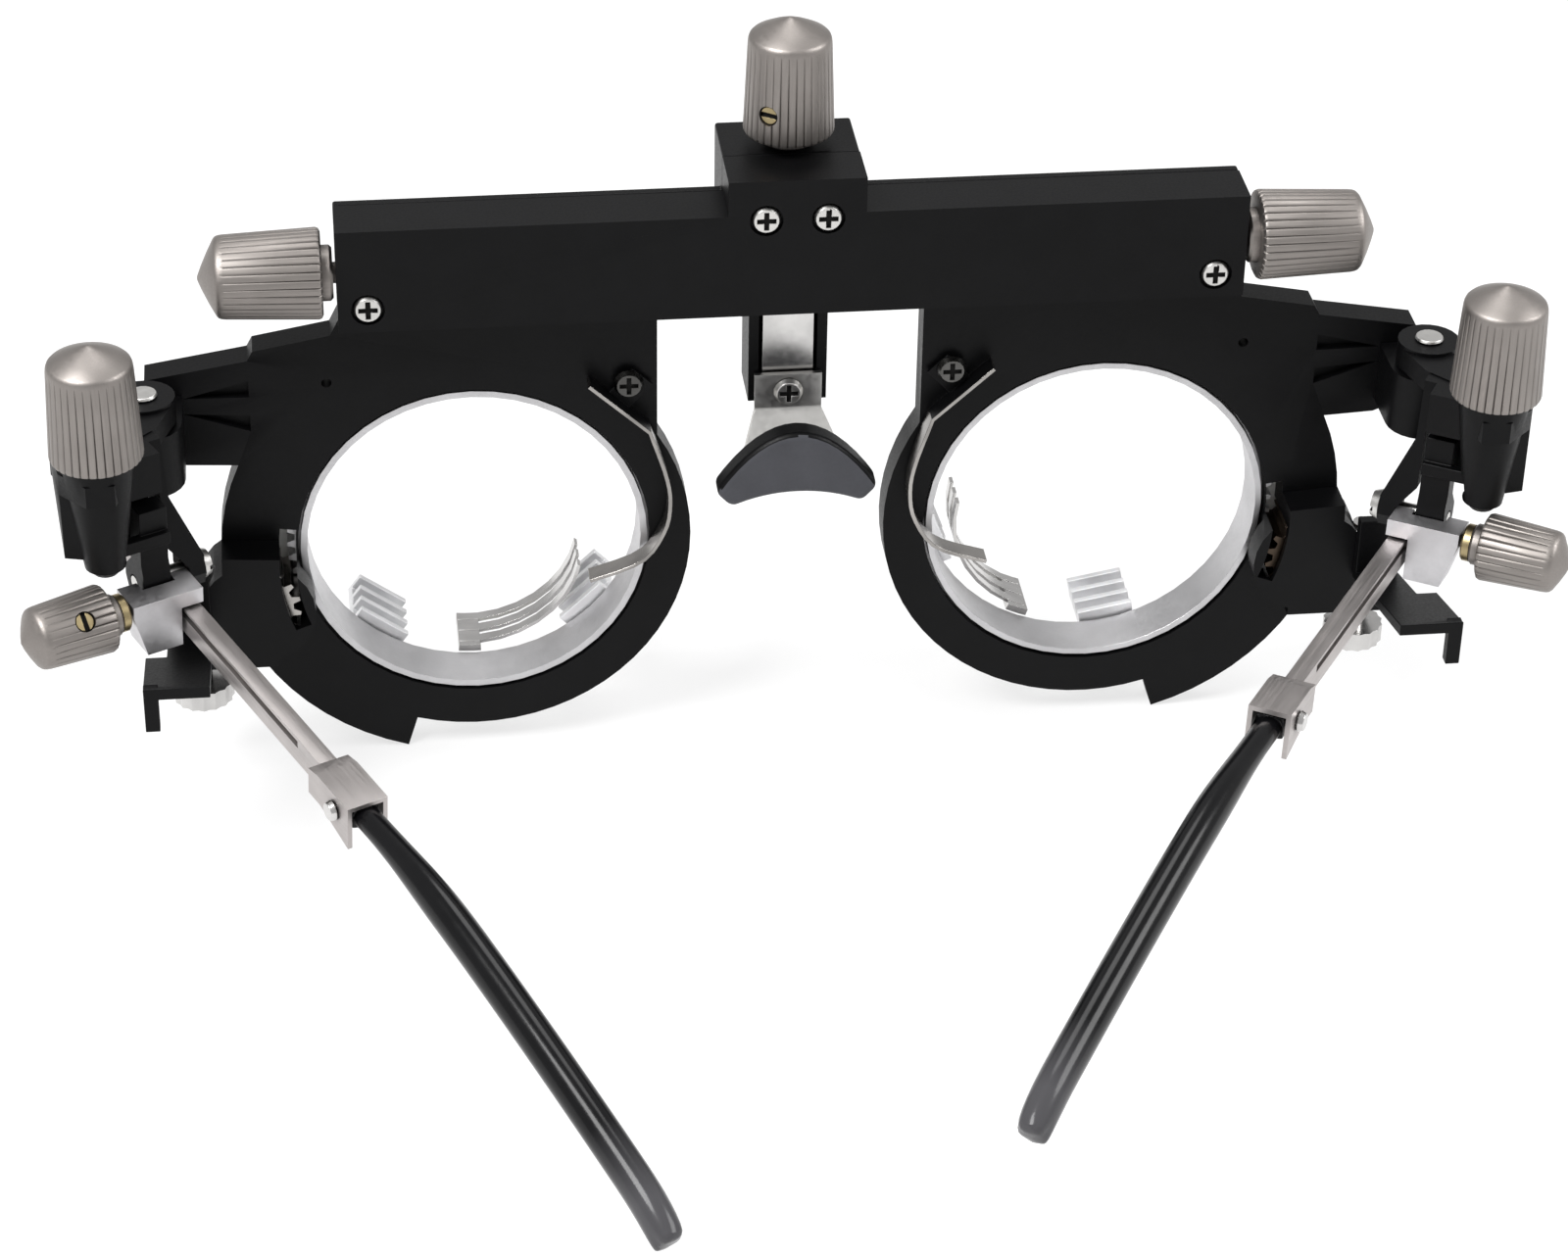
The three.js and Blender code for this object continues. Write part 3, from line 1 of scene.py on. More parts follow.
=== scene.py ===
"""Optical trial frame, dressed for a plain studio picture.

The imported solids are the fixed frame. Each sub-assembly is a class that takes its place from
them, builds finer meshes where the real pieces have more detail, and gives every piece its finish.
Lengths in the constants and the dataclass fields are millimetres and angles are degrees, where
nothing else is said; Blender's own units are metres and radians.
"""

import json
import logging
import math
from dataclasses import dataclass
from enum import Enum
from typing import Callable, Sequence

import bmesh
import bpy
from mathutils import Matrix, Vector


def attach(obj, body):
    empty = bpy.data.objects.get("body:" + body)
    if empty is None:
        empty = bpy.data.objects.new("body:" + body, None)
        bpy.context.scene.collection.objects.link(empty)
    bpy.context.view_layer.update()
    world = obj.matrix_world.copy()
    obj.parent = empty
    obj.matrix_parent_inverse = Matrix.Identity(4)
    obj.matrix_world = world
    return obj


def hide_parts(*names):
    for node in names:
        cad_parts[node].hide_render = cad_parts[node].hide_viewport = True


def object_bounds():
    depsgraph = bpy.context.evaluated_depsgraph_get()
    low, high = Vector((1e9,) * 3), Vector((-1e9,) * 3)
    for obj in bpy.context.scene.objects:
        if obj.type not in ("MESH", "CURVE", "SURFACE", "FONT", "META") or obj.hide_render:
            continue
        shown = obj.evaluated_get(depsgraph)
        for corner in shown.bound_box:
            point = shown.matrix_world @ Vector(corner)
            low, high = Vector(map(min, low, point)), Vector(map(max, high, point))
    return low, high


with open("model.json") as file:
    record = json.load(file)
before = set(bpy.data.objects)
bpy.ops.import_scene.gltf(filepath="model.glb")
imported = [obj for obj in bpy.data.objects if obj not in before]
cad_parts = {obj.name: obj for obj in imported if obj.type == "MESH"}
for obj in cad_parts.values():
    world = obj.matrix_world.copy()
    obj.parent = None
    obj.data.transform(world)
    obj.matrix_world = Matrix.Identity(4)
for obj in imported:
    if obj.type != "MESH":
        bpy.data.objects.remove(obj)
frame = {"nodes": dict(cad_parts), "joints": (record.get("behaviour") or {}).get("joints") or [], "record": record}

CAD_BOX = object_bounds()
MM = 0.001
REARWARD = Vector((0.0, -1.0, 0.0))
UPWARD = Vector((0.0, 0.0, 1.0))
MERGE_DISTANCE = 0.004
FLAT_ANGLE = 0.6
SHARP_ANGLE = 34.0
NOISE_RANGE = (0.3, 0.7)
BROAD_NOISE_SCALE = 260.0
BROAD_DETAIL = 2.0
FINE_DETAIL = 3.0
BRUSH_SQUEEZE = 0.03
ROUGHNESS_SPREAD = 0.15
COAT_ROUGHNESS = 0.08
BUMP_STRENGTH = 0.6
CORNER_REACH = 0.7
CORNER_SAMPLES = 6
LOG = logging.getLogger("trial_frame")

NODES: dict[str, bpy.types.Object] = frame["nodes"]
JOINTS: dict[str, dict] = {joint["name"]: joint for joint in frame["joints"]}
BODY_OF: dict[str, str] = {
    node: body
    for body, members in frame["record"]["behaviour"]["bodies"].items()
    for node in members
}


class Side(Enum):
    """The two sides of the frame, as its wearer has them; the value is the side's sign on X."""

    LEFT = -1
    RIGHT = 1

    @property
    def prefix(self) -> str:
        """The word that starts the names of this side's nodes and joints."""
        return f"{self.name.lower()}_"


class Relief(Enum):
    """The small surface texture a finish carries."""

    GRAIN = "grain"
    BRUSHED = "brushed"
    SMOOTH = "smooth"


@dataclass(frozen=True)
class Finish:
    """One surface finish: base values, the small variation the real surface shows, and painted shade in its
    corners and grooves.

    Args:
        name: The material's name.
        color: Linear base colour.
        roughness: Mean roughness.
        metallic: One for bare metal, zero for plastic.
        relief: The kind of small texture.
        relief_scale: Texture cells per metre across the texture.
        relief_depth: Height of the texture in millimetres.
        mottling: Share by which the colour varies over a few millimetres.
        soiling: Share by which corners and grooves are painted darker, as painted shade.
        coat: Weight of a clear coat.
        specular: Level of the dielectric reflection.
        fade: Colour the surface fades to where the mesh carries a fade value.
    """

    name: str
    color: tuple[float, float, float]
    roughness: float
    metallic: float = 0.0
    relief: Relief = Relief.SMOOTH
    relief_scale: float = 2400.0
    relief_depth: float = 0.01
    mottling: float = 0.08
    soiling: float = 0.0
    coat: float = 0.0
    specular: float = 0.5
    fade: tuple[float, float, float] | None = None

    def material(self, along: Vector | None = None) -> bpy.types.Material:
        """The finish as a shader.

        Args:
            along: Direction of the brushing, when the finish is brushed.

        Returns:
            A material that is made once for each direction.
        """
        heading = along.normalized() if along else Vector((1.0, 0.0, 0.0))
        key = f"dressed_{self.name}"
        if self.relief is Relief.BRUSHED:
            key += f"_{heading.x:.2f}_{heading.y:.2f}_{heading.z:.2f}"
        known = bpy.data.materials.get(key)
        if known:
            return known
        made = bpy.data.materials.new(key)
        made.use_nodes = True
        made.diffuse_color = (*self.color, 1.0)
        self._wire(made.node_tree, heading)
        return made

    def _wire(self, tree: bpy.types.NodeTree, heading: Vector) -> None:
        """Adds the nodes of the finish.

        Args:
            tree: The new material's tree.
            heading: Direction of the brushing.
        """
        shader = tree.nodes["Principled BSDF"]
        shader.inputs["Metallic"].default_value = self.metallic
        shader.inputs["Coat Weight"].default_value = self.coat
        shader.inputs["Coat Roughness"].default_value = COAT_ROUGHNESS
        shader.inputs["Specular IOR Level"].default_value = self.specular
        place = tree.nodes.new("ShaderNodeTexCoord").outputs["Object"]
        fine = self._fine_texture(tree, place, heading)
        color = self._mottled_color(tree, place)
        if self.fade:
            color = self._faded(tree, color)
        # Painted shade: corners and grooves get a darker colour where the finish asks for it.
        if self.soiling > 0.0:
            color = self._soiled(tree, color)
        tree.links.new(color, shader.inputs["Base Color"])
        self._relief(tree, fine, shader)

    def _fine_texture(
        self, tree: bpy.types.NodeTree, place: bpy.types.NodeSocket, heading: Vector
    ) -> bpy.types.NodeSocket:
        """The small texture, drawn out along the brushing where there is one.

        Args:
            tree: The material's tree.
            place: The surface's own coordinates.
            heading: Direction of the brushing.

        Returns:
            The texture's value.
        """
        link = tree.links.new
        fine = self._noise(tree, self.relief_scale, FINE_DETAIL)
        if self.relief is Relief.BRUSHED:
            stretch = tree.nodes.new("ShaderNodeMapping")
            turn = heading.to_track_quat("X", "Z").inverted().to_euler()
            stretch.inputs["Rotation"].default_value = turn
            squeeze = tree.nodes.new("ShaderNodeMapping")
            squeeze.inputs["Scale"].default_value = (BRUSH_SQUEEZE, 1.0, 1.0)
            link(place, stretch.inputs["Vector"])
            link(stretch.outputs["Vector"], squeeze.inputs["Vector"])
            link(squeeze.outputs["Vector"], fine.inputs["Vector"])
        else:
            link(place, fine.inputs["Vector"])
        return fine.outputs["Fac"]

    def _mottled_color(
        self, tree: bpy.types.NodeTree, place: bpy.types.NodeSocket
    ) -> bpy.types.NodeSocket:
        """The base colour with its slow variation.

        Args:
            tree: The material's tree.
            place: The surface's own coordinates.

        Returns:
            The varied colour.
        """
        broad = self._noise(tree, BROAD_NOISE_SCALE, BROAD_DETAIL)
        tree.links.new(place, broad.inputs["Vector"])
        tint = self._spread(tree, broad.outputs["Fac"], 1.0 - self.mottling, 1.0 + self.mottling)
        base = self._multiply(tree)
        base.inputs["A"].default_value = (*self.color, 1.0)
        tree.links.new(tint, base.inputs["B"])
        return base.outputs["Result"]

    def _faded(
        self, tree: bpy.types.NodeTree, color: bpy.types.NodeSocket
    ) -> bpy.types.NodeSocket:
        """The colour, changed to the fade colour by the mesh's fade value.

        Args:
            tree: The material's tree.
            color: The colour before the change.

        Returns:
            The changed colour.
        """
        share = tree.nodes.new("ShaderNodeAttribute")
        share.attribute_name = "fade"
        faded = tree.nodes.new("ShaderNodeMix")
        faded.data_type = "RGBA"
        tree.links.new(share.outputs["Fac"], faded.inputs["Factor"])
        tree.links.new(color, faded.inputs["A"])
        faded.inputs["B"].default_value = (*self.fade, 1.0)
        return faded.outputs["Result"]

    def _soiled(
        self, tree: bpy.types.NodeTree, color: bpy.types.NodeSocket
    ) -> bpy.types.NodeSocket:
        """The colour with painted shade: darker in corners and grooves, as ambient occlusion finds them.

        Args:
            tree: The material's tree.
            color: The colour before the change.

        Returns:
            The changed colour.
        """
        # Painted shade: ambient occlusion darkens the colour where corners and grooves would lie in shade.
        corner = tree.nodes.new("ShaderNodeAmbientOcclusion")
        corner.inputs["Distance"].default_value = CORNER_REACH * MM
        corner.samples = CORNER_SAMPLES
        shade = tree.nodes.new("ShaderNodeMapRange")
        shade.inputs["To Min"].default_value = 1.0 - self.soiling
        shade.inputs["To Max"].default_value = 1.0
        tree.links.new(corner.outputs["AO"], shade.inputs["Value"])
        shaded = self._multiply(tree)
        tree.links.new(color, shaded.inputs["A"])
        tree.links.new(shade.outputs["Result"], shaded.inputs["B"])
        return shaded.outputs["Result"]

    def _relief(
        self, tree: bpy.types.NodeTree, fine: bpy.types.NodeSocket, shader: bpy.types.Node
    ) -> None:
        """Lets the small texture vary the roughness and the height of the surface.

        Args:
            tree: The material's tree.
            fine: The small texture's value.
            shader: The surface shader.
        """
        least = self.roughness * (1.0 - ROUGHNESS_SPREAD)
        most = min(1.0, self.roughness * (1.0 + ROUGHNESS_SPREAD))
        tree.links.new(self._spread(tree, fine, least, most), shader.inputs["Roughness"])
        bump = tree.nodes.new("ShaderNodeBump")
        bump.inputs["Strength"].default_value = BUMP_STRENGTH
        bump.inputs["Distance"].default_value = self.relief_depth * MM
        tree.links.new(fine, bump.inputs["Height"])
        tree.links.new(bump.outputs["Normal"], shader.inputs["Normal"])

    @staticmethod
    def _multiply(tree: bpy.types.NodeTree) -> bpy.types.Node:
        """A node that multiplies two colours.

        Args:
            tree: The tree that gets the node.

        Returns:
            The new node.
        """
        product = tree.nodes.new("ShaderNodeMix")
        product.data_type = "RGBA"
        product.blend_type = "MULTIPLY"
        product.inputs["Factor"].default_value = 1.0
        return product

    @staticmethod
    def _spread(
        tree: bpy.types.NodeTree, value: bpy.types.NodeSocket, least: float, most: float
    ) -> bpy.types.NodeSocket:
        """Stretches a noise value over a range.

        Args:
            tree: The material's tree.
            value: The noise value.
            least: Result where the noise is low.
            most: Result where the noise is high.

        Returns:
            The stretched value.
        """
        spread = tree.nodes.new("ShaderNodeMapRange")
        spread.inputs["From Min"].default_value = NOISE_RANGE[0]
        spread.inputs["From Max"].default_value = NOISE_RANGE[1]
        spread.inputs["To Min"].default_value = least
        spread.inputs["To Max"].default_value = most
        tree.links.new(value, spread.inputs["Value"])
        return spread.outputs["Result"]

    @staticmethod
    def _noise(tree: bpy.types.NodeTree, scale: float, detail: float) -> bpy.types.Node:
        """A noise texture node.

        Args:
            tree: The tree that gets the node.
            scale: Cells per metre.
            detail: Octaves of the noise.

        Returns:
            The new node.
        """
        noise = tree.nodes.new("ShaderNodeTexNoise")
        noise.inputs["Scale"].default_value = scale
        noise.inputs["Detail"].default_value = detail
        return noise


# Where a finish below has a share of painted corner shade, its corners and grooves are painted darker.
BLACK_PLASTIC = Finish(
    "black_plastic", (0.0022, 0.0022, 0.0025), 0.4, relief=Relief.GRAIN,
    relief_scale=3600.0, relief_depth=0.01, mottling=0.15, specular=0.13,
)
# Near-black that paints the shade inside screw drives; the tilt knob's spindle takes it too.
SHADE_AND_SPINDLE_BLACK = Finish(
    "groove_black", (0.004, 0.0036, 0.0033), 0.7, relief=Relief.GRAIN, specular=0.2,
)
KNOB_ALUMINIUM = Finish(
    "knob_aluminium", (0.285, 0.262, 0.246), 0.48, 1.0, Relief.BRUSHED,
    relief_scale=5200.0, relief_depth=0.006, mottling=0.05, soiling=0.75,
)
POLISHED_STEEL = Finish(
    "polished_steel", (0.6, 0.59, 0.58), 0.22, 1.0, Relief.SMOOTH,
    relief_scale=1500.0, relief_depth=0.004, mottling=0.1, soiling=0.7,
)
SCREW_STEEL = Finish(
    "screw_steel", (0.66, 0.65, 0.63), 0.34, 1.0, Relief.SMOOTH,
    relief_scale=1500.0, relief_depth=0.004, mottling=0.08, soiling=0.7,
)
SPRING_STEEL = Finish(
    "spring_steel", (0.34, 0.325, 0.31), 0.24, 1.0, Relief.SMOOTH,
    relief_scale=900.0, relief_depth=0.01, mottling=0.25, soiling=0.6,
)
BRUSHED_STEEL = Finish(
    "brushed_steel", (0.47, 0.44, 0.43), 0.42, 1.0, Relief.BRUSHED,
    relief_scale=4200.0, relief_depth=0.003, mottling=0.06, soiling=0.5,
)
BLOCK_SILVER = Finish(
    "block_silver", (0.62, 0.61, 0.625), 0.44, 1.0, Relief.GRAIN,
    relief_scale=2600.0, relief_depth=0.004, mottling=0.08, soiling=0.55,
)
CELL_ALUMINIUM = Finish(
    "cell_aluminium", (0.57, 0.565, 0.575), 0.42, 1.0, Relief.GRAIN,
    relief_scale=3000.0, relief_depth=0.006, mottling=0.07, soiling=0.45,
)
CLIP_SILVER = Finish(
    "clip_silver", (0.86, 0.86, 0.87), 0.4, 0.85, Relief.GRAIN,
    relief_scale=3000.0, relief_depth=0.006, mottling=0.1, soiling=0.12,
)
DARK_STEEL = Finish(
    "dark_steel", (0.09, 0.088, 0.085), 0.26, 1.0, Relief.SMOOTH,
    relief_scale=1500.0, relief_depth=0.004, mottling=0.3, soiling=0.7,
)
BRASS = Finish(
    "brass", (0.42, 0.34, 0.19), 0.34, 1.0, Relief.SMOOTH, relief_depth=0.004, soiling=0.8,
)
GEAR_BROWN = Finish(
    "gear_brown", (0.075, 0.056, 0.042), 0.4, 1.0, Relief.GRAIN, relief_depth=0.006, soiling=0.8,
)
DIAL_WHITE = Finish("dial_white", (0.76, 0.76, 0.73), 0.55, relief=Relief.GRAIN, relief_depth=0.004)
DIAL_INK = Finish("dial_ink", (0.012, 0.012, 0.013), 0.6)
PAD_PLASTIC = Finish(
    "pad_plastic", (0.042, 0.043, 0.05), 0.55, relief=Relief.GRAIN,
    relief_scale=2600.0, relief_depth=0.02, mottling=0.1, specular=0.3,
)
HOOK_GLOSS = Finish(
    "hook_gloss", (0.0035, 0.0035, 0.004), 0.2, relief=Relief.GRAIN,
    relief_scale=900.0, relief_depth=0.006, mottling=0.1, coat=0.12, specular=0.16,
    fade=(0.055, 0.054, 0.058),
)


def placed(name: str, data: bpy.types.ID | None) -> bpy.types.Object:
    """Puts a new object into the scene.

    Args:
        name: The object's name.
        data: Its mesh, text, lamp or camera data.

    Returns:
        The new object.
    """
    made = bpy.data.objects.new(name, data)
    bpy.context.scene.collection.objects.link(made)
    return made


def stored(name: str, mesh: bmesh.types.BMesh) -> bpy.types.Object:
    """Puts a mesh into the scene as an object.

    Args:
        name: The object's name.
        mesh: Its geometry in metres; it is freed here.

    Returns:
        The new object.
    """
    data = bpy.data.meshes.new(name)
    mesh.to_mesh(data)
    mesh.free()
    return placed(name, data)


def middle_of(node: str) -> Vector:
    """The mean of a node's corners."""
    corners = [v.co for v in NODES[node].data.vertices]
    return sum(corners, Vector()) / len(corners)


def finish_piece(
    name: str,
    mesh: bmesh.types.BMesh,
    materials: Sequence[bpy.types.Material],
    body: str,
    replaces: Sequence[str] = (),
    sharp: float = SHARP_ANGLE,
) -> bpy.types.Object:
    """Turns a mesh into a piece that rides on a body.

    Args:
        name: The piece's name.
        mesh: Its geometry in metres, in the row frame; it is freed here.
        materials: The materials its faces point at.
        body: The body it rides on.
        replaces: Nodes it stands for.
        sharp: Angle over which an edge stays sharp.

    Returns:
        The new object.
    """
    bmesh.ops.recalc_face_normals(mesh, faces=mesh.faces)
    limit = math.radians(sharp)
    for edge in mesh.edges:
        edge.smooth = edge.calc_face_angle(math.pi) < limit
    for face in mesh.faces:
        face.smooth = True
    piece = stored(name, mesh)
    for material in materials:
        piece.data.materials.append(material)
    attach(piece, body)
    if replaces:
        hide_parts(*replaces)
    LOG.info("piece %s on %s", name, body)
    return piece


def apply_modifiers(piece: bpy.types.Object) -> None:
    """Writes a piece's modifiers into its mesh.

    Args:
        piece: The object whose modifiers are applied.
    """
    graph = bpy.context.evaluated_depsgraph_get()
    baked = bpy.data.meshes.new_from_object(piece.evaluated_get(graph))
    piece.modifiers.clear()
    piece.data = baked


def ease_edges(
    piece: bpy.types.Object,
    width: float,
    sharp: float = SHARP_ANGLE,
    segments: int = 2,
    harden: bool = False,
    arc: bool = False,
) -> None:
    """Rounds a piece's sharp edges and writes them into its mesh.

    Args:
        piece: The object to ease.
        width: Width of the eased edge in millimetres.
        sharp: Angle over which an edge is eased.
        segments: Steps across the eased edge.
        harden: Whether the flats keep their own shading.
        arc: Whether outer corners are rounded too.
    """
    bevel = piece.modifiers.new("ease", "BEVEL")
    bevel.width = width * MM
    bevel.segments = segments
    bevel.limit_method = "ANGLE"
    bevel.angle_limit = math.radians(sharp)
    bevel.harden_normals = harden
    if arc:
        bevel.miter_outer = "MITER_ARC"
    apply_modifiers(piece)


def cleaned(node: str) -> bmesh.types.BMesh:
    """A node's mesh with its triangles merged back into flat faces.

    Args:
        node: The CAD node.

    Returns:
        A new mesh in the row frame.
    """
    mesh = bmesh.new()
    mesh.from_mesh(NODES[node].data)
    bmesh.ops.remove_doubles(mesh, verts=mesh.verts, dist=MERGE_DISTANCE * MM)
    flat = math.radians(FLAT_ANGLE)
    bmesh.ops.dissolve_limit(mesh, angle_limit=flat, verts=mesh.verts, edges=mesh.edges)
    return mesh


@dataclass
class EasedSolid:
    """A CAD solid whose edges are eased as moulding or deburring leaves them.

    Args:
        node: The CAD node it stands for.
        finish: Its finish.
        ease: Width of the eased edge in millimetres.
        along: Direction of the brushing.
        sharp: Angle over which an edge is eased.
    """

    node: str
    finish: Finish
    ease: float = 0.18
    along: Vector | None = None
    sharp: float = SHARP_ANGLE

    def build(self) -> bpy.types.Object:
        """Makes the eased piece and hides the node behind it.

        Returns:
            The eased piece.
        """
        name = f"{self.node}_dressed"
        body = BODY_OF[self.node]
        material = self.finish.material(self.along)
        piece = finish_piece(
            name, cleaned(self.node), [material], body, [self.node], self.sharp
        )
        ease_edges(piece, self.ease, self.sharp, harden=True, arc=True)
        return piece


@dataclass
class ScrewHead:
    """A screw whose drive, a cross or a slot, is painted near-black inside as painted shade.

    Args:
        node: The CAD node it stands for.
        heading: Direction the head faces.
        finish: Its finish.
        drive_share: Share of the head's radius inside which the drive lies.
        head: Depth under the top that still counts as the head.
        drive_depths: Depths between which the drive's faces lie.
        ease: Width of the eased edge.
    """

    node: str
    heading: Vector
    finish: Finish
    drive_share: float = 0.78
    head: float = 0.7
    drive_depths: tuple[float, float] = (0.08, 0.6)
    ease: float = 0.06

    def build(self) -> bpy.types.Object:
        """Makes the screw and hides the node behind it.

        Returns:
            The screw.
        """
        mesh = cleaned(self.node)
        heights = [v.co.dot(self.heading) for v in mesh.verts]
        top = max(heights)
        rim = [v.co for v in mesh.verts if top - v.co.dot(self.heading) < self.head * MM]
        low = Vector([min(co[i] for co in rim) for i in range(3)])
        high = Vector([max(co[i] for co in rim) for i in range(3)])
        middle = (low + high) / 2.0
        reach = max(self._aside(co - middle) for co in rim)
        near, far = (depth * MM for depth in self.drive_depths)
        for face in mesh.faces:
            center = face.calc_center_median()
            depth = top - center.dot(self.heading)
            inside = self._aside(center - middle) < reach * self.drive_share
            # Faces inside the drive get the near-black of painted shade.
            face.material_index = 1 if inside and near < depth < far else 0
        piece = finish_piece(
            f"{self.node}_dressed", mesh, [self.finish.material(), SHADE_AND_SPINDLE_BLACK.material()],
            BODY_OF[self.node], [self.node],
        )
        ease_edges(piece, self.ease)
        return piece

    def _aside(self, offset: Vector) -> float:
        """Distance of an offset from the screw's axis."""
        return (offset - self.heading * offset.dot(self.heading)).length


@dataclass
class Axle:
    """A line through a joint, with the direction that points away from the frame.

    Args:
        origin: A point on the line.
        heading: Unit direction.
    """

    origin: Vector
    heading: Vector

    def span(self, node: str) -> tuple[float, float]:
        """The node's lowest and highest distance along the line."""
        heights = [(v.co - self.origin).dot(self.heading) for v in NODES[node].data.vertices]
        return min(heights), max(heights)

    def frame(self) -> Matrix:
        """A matrix whose Z axis is the line."""
        turn = self.heading.to_track_quat("Z", "Y").to_matrix().to_4x4()
        return Matrix.Translation(self.origin) @ turn


def axle_of(joint: str, outward: Vector) -> Axle:
    """The axle of a joint.

    Args:
        joint: The joint's name.
        outward: A direction the axle has to point to.

    Returns:
        The axle through the joint's place.
    """
    heading = Vector(JOINTS[joint]["axis"]).normalized()
    if heading.dot(outward) < 0.0:
        heading = -heading
    return Axle(Vector(JOINTS[joint]["pos_m"]), heading)


def turned(
    mesh: bmesh.types.BMesh,
    profile: Sequence[tuple[float, float]],
    sides: int,
    place: Matrix,
    index: int = 0,
    shape: Callable[[float, int], float] | None = None,
    shaped_rows: frozenset[int] = frozenset(),
) -> None:
    """Adds a turned shape to a mesh.

    Args:
        mesh: The mesh that gets the faces.
        profile: Radius and height pairs in metres; a radius of zero closes the shape.
        sides: Steps round the axis.
        place: Where the axis goes; Z is the axis.
        index: Material index of the faces.
        shape: Changes a radius by its step, for flutes and knurls.
        shaped_rows: The rows that the shape changes.
    """
    rows: list[list[bmesh.types.BMVert]] = []
    for row, (radius, height) in enumerate(profile):
        if radius <= 0.0:
            rows.append([mesh.verts.new(place @ Vector((0.0, 0.0, height)))])
            continue
        ring = []
        for step in range(sides):
            angle = 2.0 * math.pi * step / sides
            reach = shape(radius, step) if shape and row in shaped_rows else radius
            x = reach * math.cos(angle)
            y = reach * math.sin(angle)
            ring.append(mesh.verts.new(place @ Vector((x, y, height))))
        rows.append(ring)
    for lower, upper in zip(rows, rows[1:]):
        for step in range(sides):
            after = (step + 1) % sides
            if len(lower) == 1 and len(upper) == 1:
                continue
            if len(lower) == 1:
                corners = [lower[0], upper[after], upper[step]]
            elif len(upper) == 1:
                corners = [lower[step], lower[after], upper[0]]
            else:
                corners = [lower[step], lower[after], upper[after], upper[step]]
            face = mesh.faces.new(corners)
            face.material_index = index


